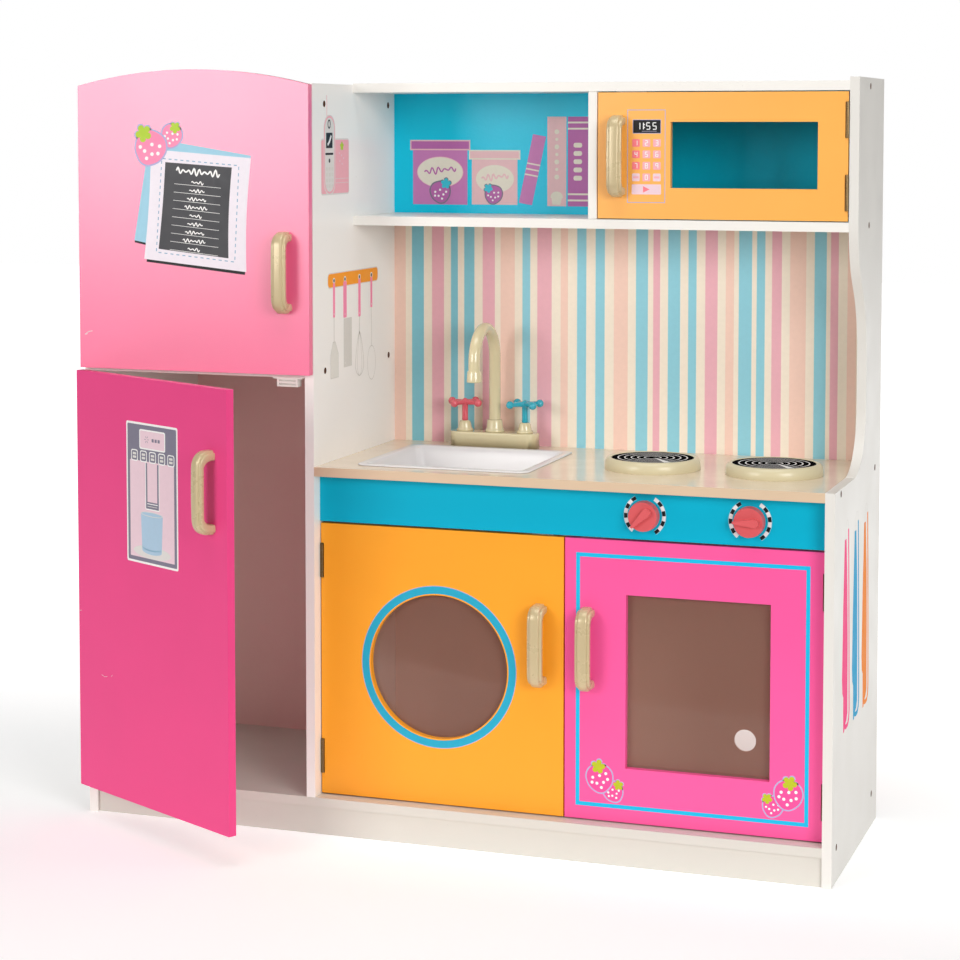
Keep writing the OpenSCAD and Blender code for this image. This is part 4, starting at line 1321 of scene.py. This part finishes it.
def draw_divider(page):
    """A note and a telephone over a rail of kitchen tools."""
    page.boxes(("mist", 0, 29.5, 893, 132, 972, 5), ("rose", 1, 31, 895, 130.5, 970, 4))
    for i in range(13):
        page.boxes(*[("mist", 2, 82 + i * 3.7, v, 84 + i * 3.7, v + 1) for v in (909, 915)])
    page.fill("leaf", leaf_outline(105.4, 961, 6.5, 18), 2)
    page.dots("pale_pink", [(96, 951), (104, 948), (112, 944), (98, 940), (106, 936)], 1.4, 2)
    page.stroke("blush", [(51, 1000), (51, 1032)], 2, 1)
    page.boxes(
        ("mist", 2, 39.5, 893, 81, 1005, 19),
        ("rose", 3, 41, 895, 79.5, 1003.5, 18),
        ("mist", 4, 43.5, 897.5, 77, 1001, 16),
    )
    page.ring("black", ellipse(58.5, 992, 5.2, 6.5), ellipse(58.5, 992, 3, 4.4), 5)
    page.boxes(("black", 5, 47.5, 958.5, 70.5, 980, 1))
    page.stroke("dial_white", [(53, 963), (60, 968), (66, 976)], 4, 6)
    page.boxes(("black", 5, 45, 949, 73, 952, 1))
    page.fill("slate", ellipse(59.5, 941, 3), 5)
    for v in range(903, 928, 8):
        page.boxes(*[("pale_grey", 5, u, v, u + 7.5, v + 5, 1.5) for u in (46, 56, 66)])
    page.boxes(
        ("mist", 0, 51.5, 761.5, 243, 783.5, 7),
        ("rail_orange", 1, 53, 763, 241.5, 782, 6),
    )
    for u, v0, wide in ((74.5, 720, 7), (115, 717, 12), (170, 714.5, 8.5), (216.5, 724.5, 7)):
        page.dots("dial_white", [(u, 772)], 4.2, 2)
        page.dots("slate", [(u, 772)], 2.6, 3)
        page.boxes(("berry_pink", 3, u - wide / 2, v0, u + wide / 2, 769, 2))
        page.dots("pale_pink", [(u, v0 + 5)], 1.2, 4)
    draw_tools(page)


def draw_tools(page):
    """A spatula, a cleaver and two whisks in very pale grey."""
    page.boxes(("faint_line", 0, 73.2, 684, 75.8, 720))
    blade = [(61, 634), (61, 668), (70, 686), (79, 686), (90.5, 668), (90.5, 634)]
    inside = [(62.4, 635.4), (62.4, 667.4), (70.8, 684.6), (78.2, 684.6), (89.1, 667.4), (89.1, 635.4)]
    page.ring("faint_line", blade, inside, 1)
    page.fill("faint", blade, 0)
    page.boxes(("faint_line", 0, 110, 646, 140.5, 716))
    page.dots("faint", [(116, 652)], 1.8, 1)
    page.boxes(("faint_line", 0, 168.8, 690, 171.2, 715))
    for wire in (16, 8.8):
        outer = [(170, 694), (170 + wire * 1.0625, 645), (170, 628), (170 - wire * 1.0625, 645)]
        inner = [(170, 690), (169.2 + wire, 645), (170, 629.4), (170.8 - wire, 645)]
        page.ring("faint_line", smooth(outer), smooth(inner), 0)
    page.boxes(("faint_line", 0, 215.6, 668, 217.4, 725))
    page.ring("faint_line", ellipse(216.6, 643.5, 16.4, 25.5), ellipse(216.6, 643.5, 15.2, 24.3), 0)


TOWEL_STEP_MM = 73


def draw_towels(page):
    """Three folded towels in a row, each on a loop."""
    for i, colour in enumerate(("towel_pink", "towel_blue", "towel_orange")):
        shift = i * TOWEL_STEP_MM
        fold = [(72, 446), (84, 446), (94, 380), (100, 300), (103, 209), (96, 200), (85, 196),
                (80.5, 188), (74, 188), (72, 236), (65, 243), (61.5, 262), (65, 350)]
        page.fill(colour, [(u + shift, v) for u, v in fold], 0)
        strand = [(98.5, 457), (103, 400), (109, 320), (114, 240), (115.5, 210), (113, 199),
                  (106, 193), (95, 192), (84, 194)]
        page.stroke(colour, [(u + shift, v) for u, v in strand], 6.4, 1)
        loop = [(77, 444), (78, 462), (86, 471), (95, 468), (98.5, 457)]
        page.stroke("pale_grey", [(u + shift, v) for u, v in loop], 1.2, 0)


# ---- floor

FLOOR_HALF = 12.0
# The paper ends a little way in front of the kitchen, cut at a slant
FLOOR_FRONT = [(-FLOOR_HALF, -1.5), (-0.9, -1.2), (-0.64, -1.07), (-0.19, -0.86), (0.2, -0.8)]


def make_floor():
    mesh = bpy.data.meshes.new("floor")
    outline = FLOOR_FRONT + [
        (FLOOR_HALF, -0.8), (FLOOR_HALF, FLOOR_HALF), (-FLOOR_HALF, FLOOR_HALF),
    ]
    mesh.from_pydata([(x, y, 0) for x, y in outline], [], [range(len(outline))])
    floor = add_object("floor", mesh)
    shader = Shader("floor_paper", 0.7)
    shader.colour((0.93, 0.93, 0.93, 1), 0.005, 3)
    place = shader.tree.nodes.new("ShaderNodeSeparateXYZ")
    shader.link(shader.coordinates, place.inputs["Vector"])
    # The paper glows, which is painted light: weakly at the front and as bright as white from 1.6 m back, so that
    # the floor behind the kitchen reads as white.
    glow = shader.between(place.outputs["Y"], 0.22, 1.1, -0.2, 1.6)
    shader.principled.inputs["Emission Color"].default_value = (1, 1, 1, 1)
    shader.link(glow, shader.principled.inputs["Emission Strength"])
    mesh.materials.append(shader.material)


bpy.context.scene.view_settings.view_transform = "Standard"
make_camera()
make_world()
make_lights()
make_floor()
make_boards()
dress_hardware()
make_splash_back()
make_handles()
make_sink()
make_faucet()
make_burner_rings()
make_screws()
for piece_name, draw, *place in (
    ("freezer_print", draw_freezer, "freezer_door", "freezer_pink", FREEZER),
    ("fridge_print", draw_fridge, "fridge_door", "fridge_pink", FRIDGE),
    ("washer_print", draw_washer, "washer_door", "washer_orange", BASE),
    ("oven_print", draw_oven, "oven_door", "oven_pink", BASE),
    ("microwave_print", draw_microwave, "microwave_door", "microwave_orange", WALL),
    ("dial_print", draw_dials, "carcass", "fascia_blue", BASE),
    ("burner_print_left", draw_hob, "carcass", "burner_print", LEFT_HOB),
    ("burner_print_right", draw_hob, "carcass", "burner_print", RIGHT_HOB),
    ("shelf_print", draw_shelf_back, "carcass", "shelf_blue", SHELF_BACK),
    ("divider_print", draw_divider, "carcass", "white_board", DIVIDER_SIDE),
    ("towel_print", draw_towels, "carcass", "white_board", RIGHT_SIDE),
):
    sheet = Print(piece_name, *place)
    draw(sheet)
    sheet.finish()
